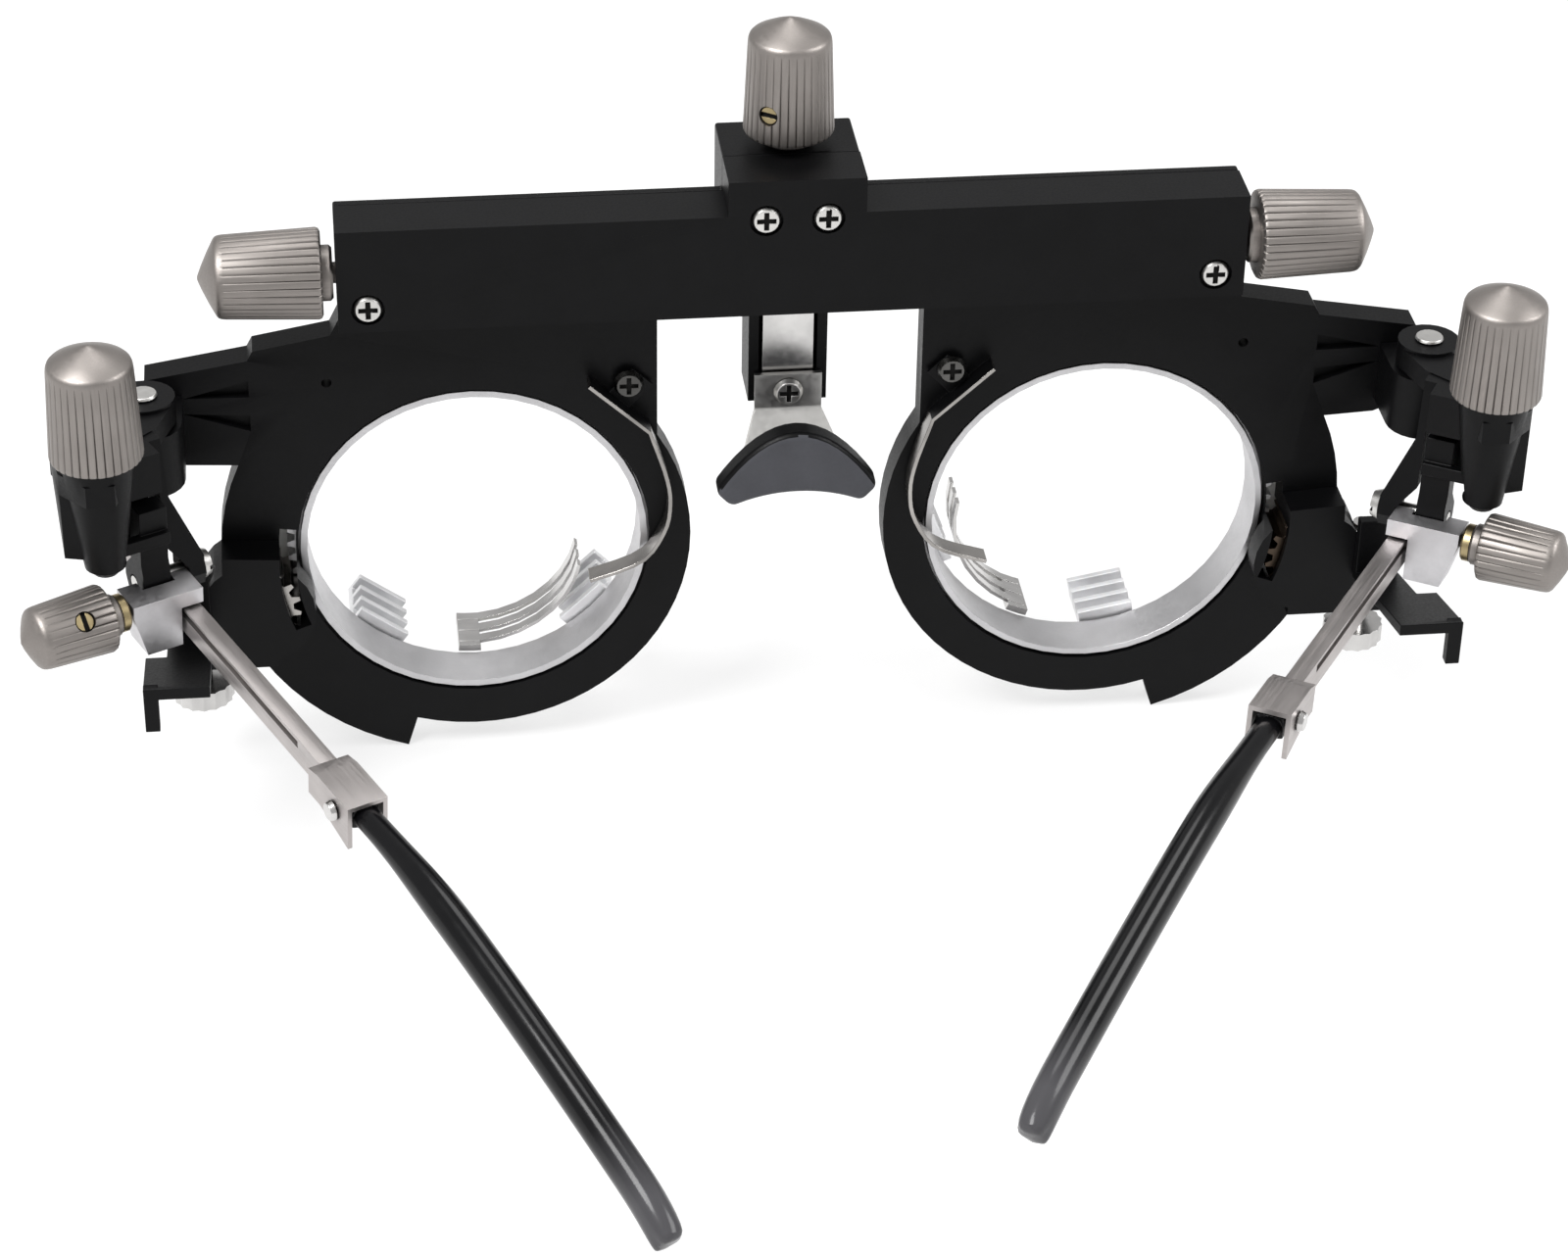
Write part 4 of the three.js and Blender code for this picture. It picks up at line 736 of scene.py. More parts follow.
@dataclass
class FlutedKnob:
    """A tapered knob with fine flutes, a shallow cone, a collar and its spindle.

    Args:
        node: The CAD node it stands for.
        axle: Its axis, pointing to the cone.
        radius: Radius at the collar's end.
        tip_radius: Radius at the cone's end.
        length: Length of the fluted body.
        cone: Height of the cone.
        collar_radius: Radius of the collar.
        collar: Length of the collar.
        spindle_radius: Radius of the spindle.
        dark_spindle: Whether the spindle is coloured near-black.
        grub: Node of the grub screw in its side, if it has one.
        sleeve: Radius and length of a brass sleeve under the collar.
        sleeve_edge: Size of the sleeve's chamfer.
        sleeve_sides: Steps round the sleeve.
        flutes: Number of flutes.
        depth: Depth of a flute.
        flute_shares: Shares of that depth at the steps of one flute.
        fluted_rows: The profile's rows with flutes, which run out towards the cone.
        edge: Size of the chamfers at the collar's end.
        heel_shares: Points of the body's rounded heel, out and up, as shares of that edge.
        shoulder: Points of the body's rounded shoulder, out from the tip radius and up.
        flank_shares: Points of the cone's flank, as shares of the tip radius and the cone.
        apex: Points of the rounded apex, as a share of the tip radius and a height over the tip.
        pocket_sides: Steps round the grub screw's pocket.
        pocket_gap: Room round the grub screw.
        pocket_overrun: How far the pocket's cut reaches past the screw.
        grub_drive_share: Share of the grub screw's radius inside which its drive lies.
        seam: Distance under the collar at which the near-black faces start.
        sharp: Angle over which an edge stays sharp.
    """

    node: str
    axle: Axle
    radius: float = 4.75
    tip_radius: float = 4.3
    length: float = 10.8
    cone: float = 1.9
    collar_radius: float = 2.9
    collar: float = 1.1
    spindle_radius: float = 1.1
    dark_spindle: bool = False
    grub: str | None = None
    sleeve: tuple[float, float] | None = None
    sleeve_edge: float = 0.2
    sleeve_sides: int = 40
    flutes: int = 34
    depth: float = 0.22
    flute_shares: tuple[float, ...] = (0.0, 0.0, 0.0, 0.0, 0.0, 0.15, 1.0, 0.15)
    fluted_rows: frozenset[int] = frozenset((7, 8))
    edge: float = 0.3
    heel_shares: tuple[tuple[float, float], ...] = ((-1.6, 0.0), (-0.4, 0.6), (0.0, 1.6))
    shoulder: tuple[tuple[float, float], ...] = (
        (0.05, -0.8), (0.0, -0.4), (-0.1, -0.12), (-0.32, 0.1),
    )
    flank_shares: tuple[tuple[float, float], ...] = ((0.62, 0.42), (0.3, 0.76))
    apex: tuple[tuple[float, float], ...] = ((0.12, -0.14), (0.05, -0.03))
    pocket_sides: int = 32
    pocket_gap: float = 0.12
    pocket_overrun: float = 1.5
    grub_drive_share: float = 0.95
    seam: float = 0.05
    sharp: float = 40.0

    def build(self) -> bpy.types.Object:
        """Makes the knob and hides the node behind it.

        Returns:
            The knob.
        """
        low, high = (height / MM for height in self.axle.span(self.node))
        base = high - self.cone - self.length - self.collar
        steps = len(self.flute_shares)

        def fluted(radius: float, step: int) -> float:
            """Radius of one step round a fluted row."""
            return radius - self.depth * MM * self.flute_shares[step % steps]

        mesh = bmesh.new()
        profile = [(radius * MM, height * MM) for radius, height in self._outline(low, high)]
        sides = self.flutes * steps
        turned(mesh, profile, sides, self.axle.frame(), 0, fluted, self.fluted_rows)
        materials = [KNOB_ALUMINIUM.material(self.axle.heading)]
        if self.sleeve:
            self._add_sleeve(mesh, base)
            materials.append(BRASS.material())
        if self.dark_spindle:
            materials.append(SHADE_AND_SPINDLE_BLACK.material())
            for face in mesh.faces:
                reach = face.calc_center_median() - self.axle.origin
                if reach.dot(self.axle.heading) < (base - self.seam) * MM:
                    face.material_index = len(materials) - 1
        piece = finish_piece(
            f"{self.node}_dressed", mesh, materials, BODY_OF[self.node],
            [self.node], self.sharp,
        )
        if self.grub:
            foot, way = self._grub_line()
            self._sink_pocket(piece, foot, way)
            ScrewHead(self.grub, way, BRASS, self.grub_drive_share).build()
        return piece

    def _outline(self, low: float, top: float) -> list[tuple[float, float]]:
        """The knob's profile from the spindle's end to the cone's tip.

        Args:
            low: Height of the spindle's end.
            top: Height of the cone's tip.

        Returns:
            Radius and height pairs in millimetres.
        """
        edge = self.edge
        shoulder = top - self.cone
        foot = shoulder - self.length
        base = foot - self.collar
        rows = [
            (0.0, low),
            (self.spindle_radius, low),
            (self.spindle_radius, base),
            (self.collar_radius - edge, base),
            (self.collar_radius, base + edge),
            (self.collar_radius, foot),
        ]
        tip = self.tip_radius
        rows += [(self.radius + edge * out, foot + edge * up) for out, up in self.heel_shares]
        rows += [(tip + out, shoulder + up) for out, up in self.shoulder]
        rows += [(tip * out, shoulder + self.cone * up) for out, up in self.flank_shares]
        rows += [(tip * out, top + up) for out, up in self.apex]
        return [*rows, (0.0, top)]

    def _add_sleeve(self, mesh: bmesh.types.BMesh, base: float) -> None:
        """Adds the brass sleeve under the collar.

        Args:
            mesh: The knob's mesh.
            base: Height of the collar's lower face.
        """
        radius, length = self.sleeve
        ring = [
            (self.spindle_radius, base - length),
            (radius - self.sleeve_edge, base - length),
            (radius, base - length + self.sleeve_edge),
            (radius, base),
        ]
        profile = [(out * MM, height * MM) for out, height in ring]
        turned(mesh, profile, self.sleeve_sides, self.axle.frame(), 1)

    def _grub_line(self) -> tuple[Vector, Vector]:
        """The line that the grub screw lies on.

        Returns:
            Its foot on the knob's axis and its outward direction.
        """
        middle = middle_of(self.grub)
        along = self.axle.heading
        foot = self.axle.origin + along * (middle - self.axle.origin).dot(along)
        return foot, (middle - foot).normalized()

    def _sink_pocket(self, piece: bpy.types.Object, foot: Vector, way: Vector) -> None:
        """Cuts the round pocket that the grub screw sits in.

        Args:
            piece: The knob.
            foot: Foot of the grub screw's line on the knob's axis.
            way: Outward direction of the grub screw.
        """
        corners = [v.co for v in NODES[self.grub].data.vertices]
        reach = max((c - foot).dot(way) for c in corners)
        shank = min((c - foot).dot(way) for c in corners)
        width = max(((c - foot) - way * (c - foot).dot(way)).length for c in corners)
        mesh = bmesh.new()
        radius = width + self.pocket_gap * MM
        mouth = reach + self.pocket_overrun * MM
        ring = [(0.0, shank), (radius, shank), (radius, mouth), (0.0, mouth)]
        turned(mesh, ring, self.pocket_sides, Axle(foot, way).frame())
        bmesh.ops.recalc_face_normals(mesh, faces=mesh.faces)
        tool = stored("pocket", mesh)
        sink = piece.modifiers.new("pocket", "BOOLEAN")
        sink.object = tool
        sink.solver = "EXACT"
        apply_modifiers(piece)
        bpy.data.objects.remove(tool)


@dataclass
class Crossbar:
    """The bar over both eyes with its screws and its three knobs.

    Args:
        ease: Width of the bar's eased edges.
    """

    ease: float = 0.25

    def build(self) -> None:
        """Makes the bar's pieces."""
        for node in ("crossbar_housing", "crossbar_front"):
            EasedSolid(node, BLACK_PLASTIC, self.ease).build()
        for side in Side:
            for kind in ("bar_screw", "bridge_screw"):
                ScrewHead(f"{side.prefix}{kind}", REARWARD, SCREW_STEEL).build()
            outward = Vector((side.value, 0.0, 0.0))
            axle = axle_of(f"{side.prefix}distance_knob_turn", outward)
            FlutedKnob(f"{side.prefix}distance_knob", axle).build()
        nose_axle = axle_of("nose_knob_turn", UPWARD)
        FlutedKnob("nose_knob", nose_axle, grub="nose_knob_grub").build()


@dataclass
class NoseRest:
    """The channel post with its plate and screw, the bent strip and the saddle.

    Args:
        post_ease: Width of the post's eased edges.
        plate_ease: Width of the plate's eased edges.
        strip_ease: Width of the strip's eased edges.
        rim_slope: Least upward part of a face's normal on the saddle's black rim.
        rounding: Width of the saddle's rounded edges.
        rounding_steps: Steps across a rounded edge.
        rounded: Angle over which the saddle's edges are rounded.
        sharp: Angle over which the saddle's edges stay sharp.
    """

    post_ease: float = 0.2
    plate_ease: float = 0.1
    strip_ease: float = 0.12
    rim_slope: float = 0.4
    rounding: float = 0.8
    rounding_steps: int = 5
    rounded: float = 50.0
    sharp: float = 40.0

    def build(self) -> None:
        """Makes the nose rest's pieces."""
        EasedSolid("nose_post", BLACK_PLASTIC, self.post_ease).build()
        EasedSolid("nose_post_plate", POLISHED_STEEL, self.plate_ease).build()
        ScrewHead("nose_post_screw", REARWARD, SCREW_STEEL).build()
        EasedSolid("nose_pad_strip", SCREW_STEEL, self.strip_ease).build()
        self._saddle()

    def _saddle(self) -> None:
        """Makes the rounded saddle from the node's own outline."""
        mesh = cleaned("nose_pad")
        mesh.normal_update()
        for face in mesh.faces:
            face.material_index = 1 if face.normal.z > self.rim_slope else 0
        piece = finish_piece(
            "nose_saddle", mesh, [PAD_PLASTIC.material(), BLACK_PLASTIC.material()],
            BODY_OF["nose_pad"], ["nose_pad"], self.sharp,
        )
        ease_edges(piece, self.rounding, self.rounded, self.rounding_steps, harden=True)


@dataclass
class DegreeDial:
    """The white dial on the front of a carrier, with its ticks and numbers in ink.

    Args:
        node: The CAD node it stands for.
        joint: The joint at the dial's middle.
        step: Degrees between two ticks.
        long_step: Degrees between two long ticks.
        number_step: Degrees between two numbers.
        last_number: The last number's angle.
        ink: Height of the ink over the dial.
        ink_root: Depth of the ticks' roots under the dial's face.
        short_tick: Length of a short tick.
        long_tick: Length of a long tick.
        tick_half: Half the width of a tick.
        rim: Distance of the ticks from the dial's edge.
        number_size: Size of the numbers' type.
        number_steps: Steps in a curve of the type.
        number_inset: Distance of the numbers inward of the dial's middle line.
        sharp: Angle over which an edge stays sharp.
    """

    node: str
    joint: str
    step: int = 5
    long_step: int = 10
    number_step: int = 30
    last_number: int = 180
    ink: float = 0.03
    ink_root: float = 0.01
    short_tick: float = 0.8
    long_tick: float = 1.3
    tick_half: float = 0.07
    rim: float = 0.15
    number_size: float = 1.5
    number_steps: int = 2
    number_inset: float = 0.65
    sharp: float = 30.0

    def build(self) -> bpy.types.Object:
        """Makes the dial and hides the node behind it.

        Returns:
            The dial.
        """
        mesh = cleaned(self.node)
        middle = Vector(JOINTS[self.joint]["pos_m"])
        front = max(v.co.y for v in mesh.verts)
        offsets = [v.co - middle for v in mesh.verts]
        outer = max(math.hypot(offset.x, offset.z) for offset in offsets) / MM
        inner = min(math.hypot(offset.x, offset.z) for offset in offsets) / MM
        face_up = Matrix(((-1.0, 0.0, 0.0), (0.0, 0.0, 1.0), (0.0, 1.0, 0.0))).to_4x4()
        place = Matrix.Translation(Vector((middle.x, front, middle.z))) @ face_up
        for angle in range(0, 360, self.step):
            length = self.long_tick if angle % self.long_step == 0 else self.short_tick
            self._tick(mesh, place, math.radians(angle), outer - self.rim, length)
        for angle in range(0, self.last_number + 1, self.number_step):
            self._number(mesh, place, angle, (inner + outer) / 2.0 - self.number_inset)
        return finish_piece(
            f"{self.node}_dressed", mesh, [DIAL_WHITE.material(), DIAL_INK.material()],
            BODY_OF[self.node], [self.node], self.sharp,
        )

    def _tick(
        self, mesh: bmesh.types.BMesh, place: Matrix, angle: float, outer: float, length: float
    ) -> None:
        """Adds one radial tick.

        Args:
            mesh: The mesh that gets the tick.
            place: The dial's frame, Z out of its face.
            angle: Where the tick stands, in radians.
            outer: Radius of its outer end.
            length: Its length.
        """
        out = Vector((math.cos(angle), math.sin(angle), 0.0))
        side = Vector((-out.y, out.x, 0.0)) * self.tick_half
        rings = []
        for height in (-self.ink_root, self.ink):
            up = Vector((0.0, 0.0, height))
            corners = (out * outer - side, out * outer + side)
            corners += (out * (outer - length) + side, out * (outer - length) - side)
            rings.append([mesh.verts.new(place @ ((corner + up) * MM)) for corner in corners])
        low, high = rings
        faces = [mesh.faces.new(high), mesh.faces.new(low[::-1])]
        for i in range(len(low)):
            after = (i + 1) % len(low)
            faces.append(mesh.faces.new((low[i], low[after], high[after], high[i])))
        for face in faces:
            face.material_index = 1

    def _number(self, mesh: bmesh.types.BMesh, place: Matrix, angle: int, radius: float) -> None:
        """Adds one number that reads upright from the front.

        Args:
            mesh: The mesh that gets the number.
            place: The dial's frame, Z out of its face.
            angle: The number and where it stands, in degrees.
            radius: Distance of its middle from the dial's.
        """
        text = bpy.data.curves.new("number", "FONT")
        text.body = str(angle)
        text.size = self.number_size * MM
        text.extrude = self.ink * MM / 2.0
        text.resolution_u = self.number_steps
        text.align_x = "CENTER"
        text.align_y = "CENTER"
        holder = placed("number", text)
        graph = bpy.context.evaluated_depsgraph_get()
        data = bpy.data.meshes.new_from_object(holder.evaluated_get(graph))
        bpy.data.objects.remove(holder)
        way = math.radians(angle)
        spot = Vector((math.cos(way), math.sin(way), 0.0)) * radius * MM
        turn = Matrix.Rotation(way - math.pi / 2.0, 4, "Z")
        data.transform(place @ Matrix.Translation(spot) @ turn)
        known = len(mesh.faces)
        mesh.from_mesh(data)
        mesh.faces.ensure_lookup_table()
        for face in mesh.faces[known:]:
            face.material_index = 1
        bpy.data.meshes.remove(data)


@dataclass
class RetainingSpring:
    """The rear leaf spring: bright along its strip, black where its foot is screwed down.

    Args:
        side: Which eye it belongs to.
        foot: Reach of the black foot round its screw.
        foot_depth: Least distance of the foot's faces in front of the spring's rear end.
        ease: Width of the eased edge.
    """

    side: Side
    foot: float = 2.7
    foot_depth: float = 1.0
    ease: float = 0.05

    def build(self) -> bpy.types.Object:
        """Makes the spring and hides the node behind it.

        Returns:
            The spring.
        """
        node = f"{self.side.prefix}retaining_spring"
        middle = middle_of(f"{node}_screw")
        mesh = cleaned(node)
        mesh.normal_update()
        lowest = min(v.co.y for v in mesh.verts)
        for face in mesh.faces:
            center = face.calc_center_median()
            near = math.hypot(center.x - middle.x, center.z - middle.z) < self.foot * MM
            deep = center.y - lowest > self.foot_depth * MM
            face.material_index = 1 if near and deep else 0
        piece = finish_piece(
            f"{node}_dressed", mesh, [SPRING_STEEL.material(), BLACK_PLASTIC.material()],
            BODY_OF[node], [node],
        )
        ease_edges(piece, self.ease)
        return piece


@dataclass
class Eye:
    """One lens carrier with its cell, springs, dial and axis drive.

    Args:
        side: Which eye it is.
        carrier_ease: Width of the carrier's eased edges.
        plate_ease: Width of the sight plate's eased edges.
        ring_ease: Width of the cell ring's eased edges.
        clip_ease: Width of the lens clips' eased edges.
        leaf_ease: Width of the leaf spring's eased edges.
        gear_ease: Width of the idler gear's eased edges.
        wheel_ease: Width of the axis wheel's eased edges.
        pin_ease: Width of the hinge pin's eased edges.
    """

    side: Side
    carrier_ease: float = 0.2
    plate_ease: float = 0.15
    ring_ease: float = 0.06
    clip_ease: float = 0.1
    leaf_ease: float = 0.04
    gear_ease: float = 0.04
    wheel_ease: float = 0.06
    pin_ease: float = 0.08

    def build(self) -> None:
        """Makes the eye's pieces."""
        name = self.side.prefix
        EasedSolid(f"{name}lens_carrier", BLACK_PLASTIC, self.carrier_ease).build()
        EasedSolid(f"{name}sight_plate", BLACK_PLASTIC, self.plate_ease).build()
        RetainingSpring(self.side).build()
        ScrewHead(f"{name}retaining_spring_screw", REARWARD, DARK_STEEL).build()
        DegreeDial(f"{name}axis_dial", f"{name}cell_turn").build()
        EasedSolid(f"{name}cell_ring", CELL_ALUMINIUM, self.ring_ease).build()
        for kind in ("lens_clip_outer", "lens_clip_inner"):
            EasedSolid(f"{name}{kind}", CLIP_SILVER, self.clip_ease).build()
        EasedSolid(f"{name}lens_leaf_spring", POLISHED_STEEL, self.leaf_ease).build()
        gear = GEAR_BROWN if self.side is Side.RIGHT else SPRING_STEEL
        EasedSolid(f"{name}idler_gear", gear, self.gear_ease).build()
        EasedSolid(f"{name}axis_wheel", POLISHED_STEEL, self.wheel_ease).build()
        EasedSolid(f"{name}hinge_pin", SCREW_STEEL, self.pin_ease).build()


@dataclass
class EarHook:
    """The padded end of a temple: a smooth oval rod with a bent, lighter tip.

    Args:
        side: Which temple it belongs to.
        tip: Distance from the end at which the surface starts to lighten.
        full: Distance from the end at which it is lightest.
        swell: How far the sheath stands out over the CAD outline's cage.
        swell_start: Distance from the pivot up to which it keeps the outline.
        swell_full: Distance from the pivot from which it stands out in full.
        joined: Angle up to which two triangles are joined into one face.
        corner: Angle over which an edge of the cage is creased.
        near_crease: Sharpness of the creases near the pivot.
        far_crease: Sharpness of the creases farther out.
        crease_reach: Distance from the pivot up to which a crease counts as near.
        levels: How often the cage is divided to make the smooth rod.
        sharp: Angle over which an edge of the cage stays sharp.
    """

    side: Side
    tip: float = 10.0
    full: float = 7.0
    swell: float = 0.42
    swell_start: float = 8.0
    swell_full: float = 16.0
    joined: float = 50.0
    corner: float = 60.0
    near_crease: float = 0.8
    far_crease: float = 0.2
    crease_reach: float = 20.0
    levels: int = 2
    sharp: float = 80.0

    def build(self) -> bpy.types.Object:
        """Makes the rod and hides the node behind it.

        Returns:
            The rod.
        """
        node = f"{self.side.prefix}ear_hook"
        mesh = bmesh.new()
        mesh.from_mesh(NODES[node].data)
        bmesh.ops.remove_doubles(mesh, verts=mesh.verts, dist=MERGE_DISTANCE * MM)
        bmesh.ops.join_triangles(
            mesh, faces=mesh.faces, angle_face_threshold=math.radians(self.joined),
            angle_shape_threshold=math.pi,
        )
        pivot = Vector(JOINTS[f"{node}_turn"]["pos_m"])
        end = max((v.co for v in mesh.verts), key=lambda co: (co - pivot).length).copy()
        mesh.normal_update()
        rise = self.swell_full - self.swell_start
        for vertex in mesh.verts:
            share = ((vertex.co - pivot).length / MM - self.swell_start) / rise
            vertex.co += vertex.normal * self.swell * MM * min(1.0, max(0.0, share))
        creases = mesh.edges.layers.float.new("crease_edge")
        for edge in mesh.edges:
            if edge.calc_face_angle(0.0) > math.radians(self.corner):
                far = (edge.verts[0].co - pivot).length > self.crease_reach * MM
                edge[creases] = self.far_crease if far else self.near_crease
        fade = mesh.verts.layers.float.new("fade")
        for vertex in mesh.verts:
            away = (vertex.co - end).length / MM
            vertex[fade] = min(1.0, max(0.0, (self.tip - away) / (self.tip - self.full)))
        piece = finish_piece(
            f"{node}_dressed", mesh, [HOOK_GLOSS.material()], BODY_OF[node],
            [node], self.sharp,
        )
        smooth = piece.modifiers.new("smooth", "SUBSURF")
        smooth.levels = self.levels
        smooth.render_levels = self.levels
        apply_modifiers(piece)
        return piece


@dataclass
class Temple:
    """One temple from its bracket to the end of its ear hook.

    Args:
        side: Which temple it is.
        bracket_ease: Width of the bracket's eased edges.
        arm_ease: Width of the tilt arm's eased edges.
        block_ease: Width of the block's eased edges.
        bar_ease: Width of the bar's eased edges.
        hook_screw_ease: Width of the hook screw's eased edges.
        tilt_spindle: Radius of the tilt knob's spindle.
        length_spindle: Radius of the length knob's spindle.
        length_sleeve: Radius and length of the length knob's sleeve.
        length_flutes: Number of the length knob's flutes.
        length_knob_share: Size of the length knob as a share of the large knobs'.
        length_body_share: Length of its fluted body as a share of theirs.
    """

    side: Side
    bracket_ease: float = 0.2
    arm_ease: float = 0.15
    block_ease: float = 0.4
    bar_ease: float = 0.12
    hook_screw_ease: float = 0.1
    tilt_spindle: float = 1.0
    length_spindle: float = 0.7
    length_sleeve: tuple[float, float] = (2.0, 0.9)
    length_flutes: int = 26
    length_knob_share: float = 0.76
    length_body_share: float = 0.74

    def build(self) -> None:
        """Makes the temple's pieces."""
        name = self.side.prefix
        outward = Vector((self.side.value, 0.0, 0.0))
        back = Vector(JOINTS[f"{name}temple_length"]["axis"])
        EasedSolid(f"{name}temple_bracket", BLACK_PLASTIC, self.bracket_ease).build()
        pivot = Vector(JOINTS[f"{name}temple_tilt"]["axis"]).normalized()
        if pivot.x * self.side.value > 0.0:
            pivot = -pivot
        ScrewHead(f"{name}tilt_pivot_screw", pivot, SCREW_STEEL).build()
        EasedSolid(f"{name}tilt_arm", BLACK_PLASTIC, self.arm_ease).build()
        EasedSolid(f"{name}temple_block", BLOCK_SILVER, self.block_ease).build()
        EasedSolid(f"{name}temple_bar", BRUSHED_STEEL, self.bar_ease, back).build()
        EasedSolid(f"{name}ear_hook_screw", POLISHED_STEEL, self.hook_screw_ease).build()
        EarHook(self.side).build()
        FlutedKnob(
            f"{name}tilt_knob", axle_of(f"{name}tilt_knob_turn", UPWARD),
            spindle_radius=self.tilt_spindle, dark_spindle=True,
        ).build()
        share = self.length_knob_share
        FlutedKnob(
            f"{name}length_knob", axle_of(f"{name}length_knob_turn", outward),
            radius=FlutedKnob.radius * share, tip_radius=FlutedKnob.tip_radius * share,
            length=FlutedKnob.length * self.length_body_share, cone=FlutedKnob.cone * share,
            collar_radius=FlutedKnob.collar_radius * share, spindle_radius=self.length_spindle,
            grub=f"{name}length_knob_grub", sleeve=self.length_sleeve, flutes=self.length_flutes,
        ).build()


@dataclass(frozen=True)
class Lamp:
    """One round soft lamp that faces the object.

    Args:
        name: The lamp's name.
        place: Its position in the row frame.
        size: Its diameter.
        power: Its power in watts.
    """

    name: str
    place: tuple[float, float, float]
    size: float
    power: float

    def build(self, target: Vector) -> None:
        """Hangs the lamp.

        Args:
            target: The point it faces, in metres.
        """
        lamp = bpy.data.lights.new(self.name, "AREA")
        lamp.shape = "DISK"
        lamp.size = self.size * MM
        lamp.energy = self.power
        stand = placed(self.name, lamp)
        stand.location = Vector(self.place) * MM
        stand.rotation_mode = "QUATERNION"
        stand.rotation_quaternion = (target - stand.location).to_track_quat("-Z", "Y")


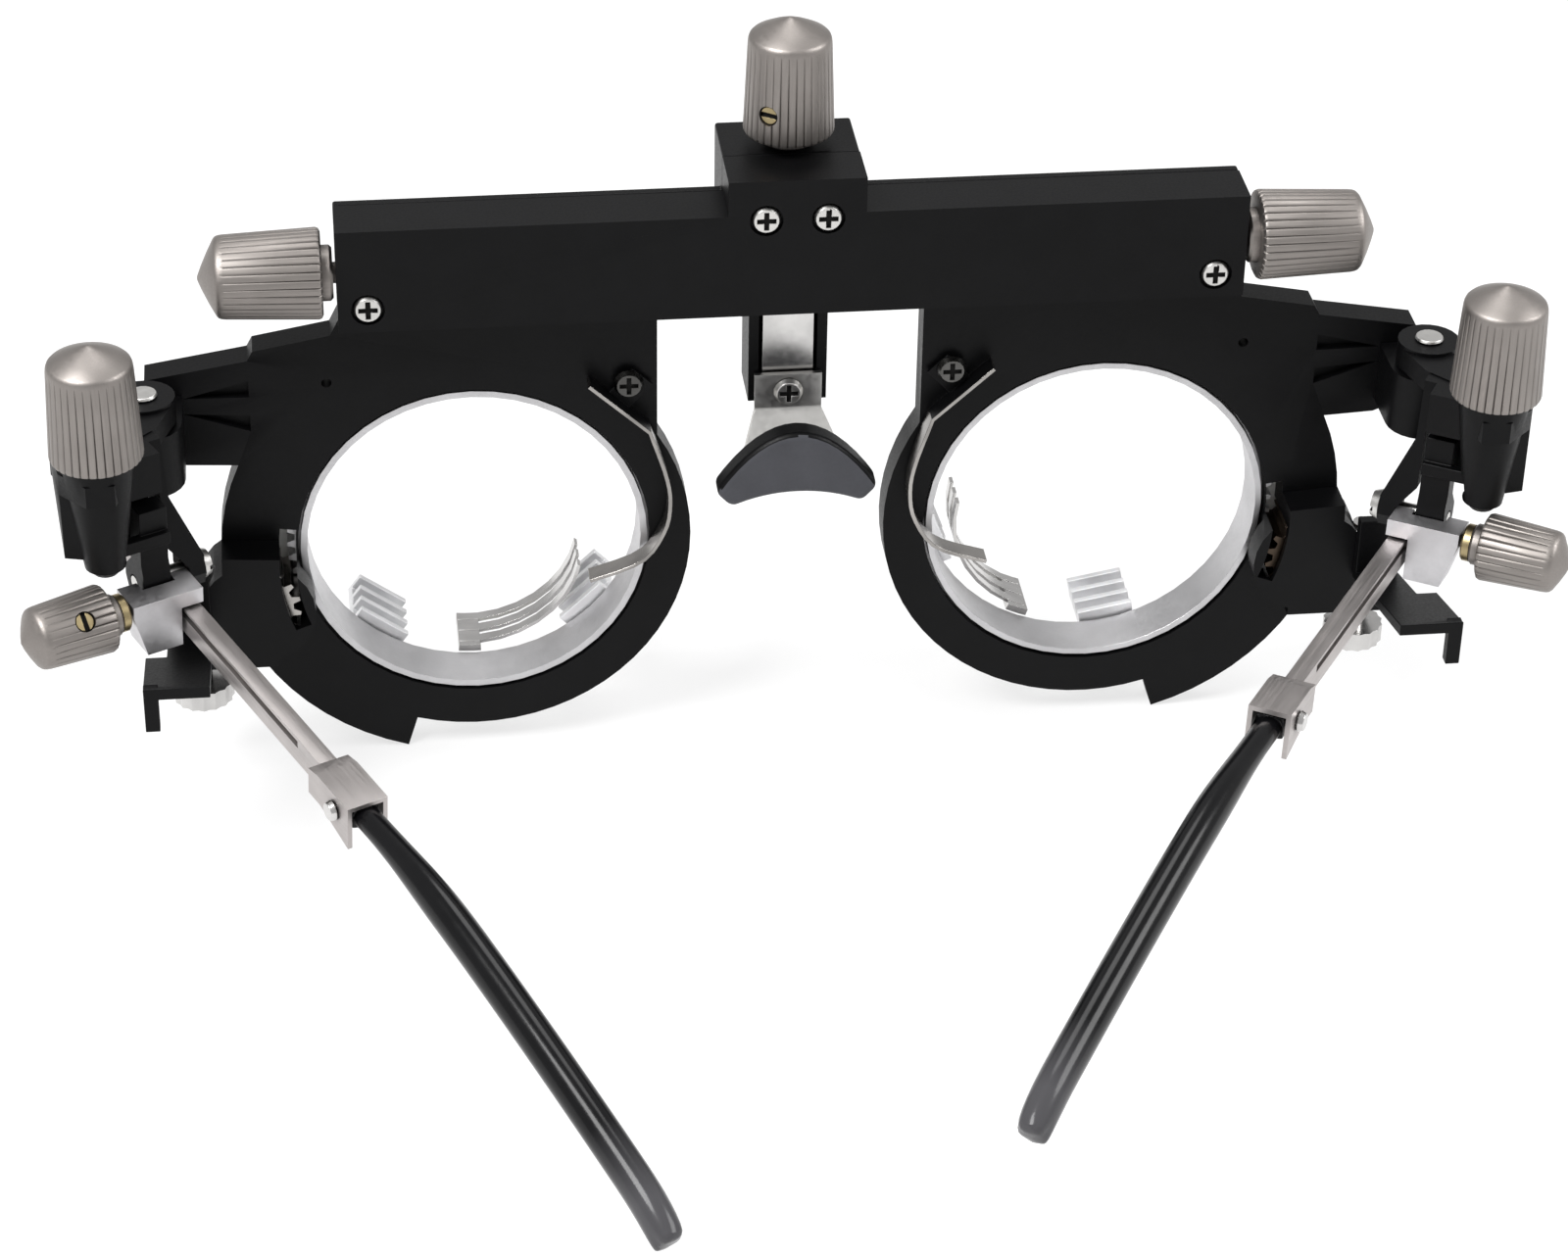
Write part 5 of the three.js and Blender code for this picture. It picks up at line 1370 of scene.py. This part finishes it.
@dataclass
class Studio:
    """A pale floor, soft lights and the camera of the photograph.

    Args:
        camera_place: Camera position in the row frame.
        yaw: Camera heading to the right of +Y, in degrees.
        pitch: Camera angle below the horizon, in degrees.
        roll: Camera roll, in degrees.
        lens: Focal length.
        sensor: Width of the camera's sensor.
        near_clip: Distance from which the camera sees.
        floor_half: Half the floor's side.
        floor_gap: Room between the object's lowest point and the floor.
        paper_white: Brightness of the floor's paper.
        paper_roughness: Roughness of the paper.
        paper_specular: Level of the paper's reflection.
        paper_glow: Share of the paper that shines by itself where it is seen.
        surround: Strength of the surround where it is not seen but lights the object.
        lamps: The soft lamps.
    """

    camera_place: tuple[float, float, float] = (-49.48, -382.24, 205.74)
    yaw: float = 7.283
    pitch: float = 33.022
    roll: float = 1.069
    lens: float = 96.9
    sensor: float = 36.0
    near_clip: float = 20.0
    floor_half: float = 1500.0
    floor_gap: float = 0.1
    paper_white: float = 0.93
    paper_roughness: float = 0.9
    paper_specular: float = 0.1
    paper_glow: float = 0.72
    surround: float = 0.55
    lamps: tuple[Lamp, ...] = (
        Lamp("key_lamp", (-420.0, -260.0, 620.0), size=420.0, power=7.5),
        Lamp("side_lamp", (560.0, -120.0, 380.0), size=360.0, power=2.6),
        Lamp("front_lamp", (60.0, 330.0, 780.0), size=420.0, power=2.0),
    )

    def build(self) -> None:
        """Makes the floor, the world, the lamps and the camera."""
        self._floor()
        self._world()
        self._lamps()
        self._camera()
        bpy.context.scene.view_settings.view_transform = "Standard"

    def _floor(self) -> None:
        """Makes the floor at the object's lowest point."""
        low, _ = CAD_BOX
        half = self.floor_half * MM
        corners = [(-half, -half), (half, -half), (half, half), (-half, half)]
        data = bpy.data.meshes.new("floor")
        data.from_pydata([(x, y, low.z - self.floor_gap * MM) for x, y in corners], [], [(0, 1, 2, 3)])
        floor = placed("floor", data)
        data.materials.append(self._paper())

    def _paper(self) -> bpy.types.Material:
        """White paper: it takes the object's shadow and stays bright for the camera.

        Returns:
            The paper.
        """
        paper = bpy.data.materials.new("white_paper")
        paper.use_nodes = True
        tree = paper.node_tree
        shader = tree.nodes["Principled BSDF"]
        shader.inputs["Base Color"].default_value = (*[self.paper_white] * 3, 1.0)
        shader.inputs["Roughness"].default_value = self.paper_roughness
        shader.inputs["Specular IOR Level"].default_value = self.paper_specular
        glow = tree.nodes.new("ShaderNodeEmission")
        rays = tree.nodes.new("ShaderNodeLightPath")
        seen = self._either(tree, rays.outputs["Is Camera Ray"], rays.outputs["Is Glossy Ray"])
        seen = self._either(tree, seen, rays.outputs["Is Transmission Ray"])
        share = tree.nodes.new("ShaderNodeMath")
        share.operation = "MULTIPLY"
        share.inputs[1].default_value = self.paper_glow
        blend = tree.nodes.new("ShaderNodeMixShader")
        link = tree.links.new
        link(seen, share.inputs[0])
        link(share.outputs[0], blend.inputs["Fac"])
        link(shader.outputs["BSDF"], blend.inputs[1])
        link(glow.outputs["Emission"], blend.inputs[2])
        link(blend.outputs["Shader"], tree.nodes["Material Output"].inputs["Surface"])
        return paper

    def _world(self) -> None:
        """A white surround that lights the object softly."""
        world = bpy.data.worlds.new("studio")
        bpy.context.scene.world = world
        world.use_nodes = True
        tree = world.node_tree
        sky = tree.nodes["Background"]
        sky.inputs["Color"].default_value = (1.0, 1.0, 1.0, 1.0)
        rays = tree.nodes.new("ShaderNodeLightPath").outputs
        seen = self._either(tree, rays["Is Camera Ray"], rays["Is Transmission Ray"])
        level = tree.nodes.new("ShaderNodeMapRange")
        level.inputs["To Min"].default_value = self.surround
        level.inputs["To Max"].default_value = 1.0
        tree.links.new(seen, level.inputs["Value"])
        tree.links.new(level.outputs["Result"], sky.inputs["Strength"])

    @staticmethod
    def _either(
        tree: bpy.types.NodeTree, first: bpy.types.NodeSocket, second: bpy.types.NodeSocket
    ) -> bpy.types.NodeSocket:
        """Tells whether a ray is of one of two kinds.

        Args:
            tree: The tree that gets the node.
            first: One where the ray is of the first kind.
            second: One where it is of the second kind.

        Returns:
            The larger of the two values.
        """
        larger = tree.nodes.new("ShaderNodeMath")
        larger.operation = "MAXIMUM"
        tree.links.new(first, larger.inputs[0])
        tree.links.new(second, larger.inputs[1])
        return larger.outputs[0]

    def _lamps(self) -> None:
        """A large key lamp from the upper left, weaker ones from the right and from beyond."""
        target = (CAD_BOX[0] + CAD_BOX[1]) / 2.0
        for lamp in self.lamps:
            lamp.build(target)

    def _camera(self) -> None:
        """Places the camera as the photograph's was."""
        yaw, pitch, roll = (math.radians(a) for a in (self.yaw, self.pitch, self.roll))
        ahead = Vector(
            (math.sin(yaw) * math.cos(pitch), math.cos(yaw) * math.cos(pitch), -math.sin(pitch))
        )
        level = Vector((math.cos(yaw), -math.sin(yaw), 0.0))
        above = level.cross(ahead)
        right = math.cos(roll) * level + math.sin(roll) * above
        up = -math.sin(roll) * level + math.cos(roll) * above
        data = bpy.data.cameras.new("camera")
        data.lens = self.lens
        data.sensor_width = self.sensor
        data.clip_start = self.near_clip * MM
        camera = placed("camera", data)
        axes = Matrix((right, up, -ahead)).transposed().to_4x4()
        camera.matrix_world = Matrix.Translation(Vector(self.camera_place) * MM) @ axes
        bpy.context.scene.camera = camera


def main() -> None:
    """Builds the sub-assemblies in order."""
    logging.basicConfig(level=logging.INFO, format="%(name)s: %(message)s")
    Crossbar().build()
    NoseRest().build()
    for side in Side:
        Eye(side).build()
        Temple(side).build()
    Studio().build()


if __name__ == "__main__":
    main()
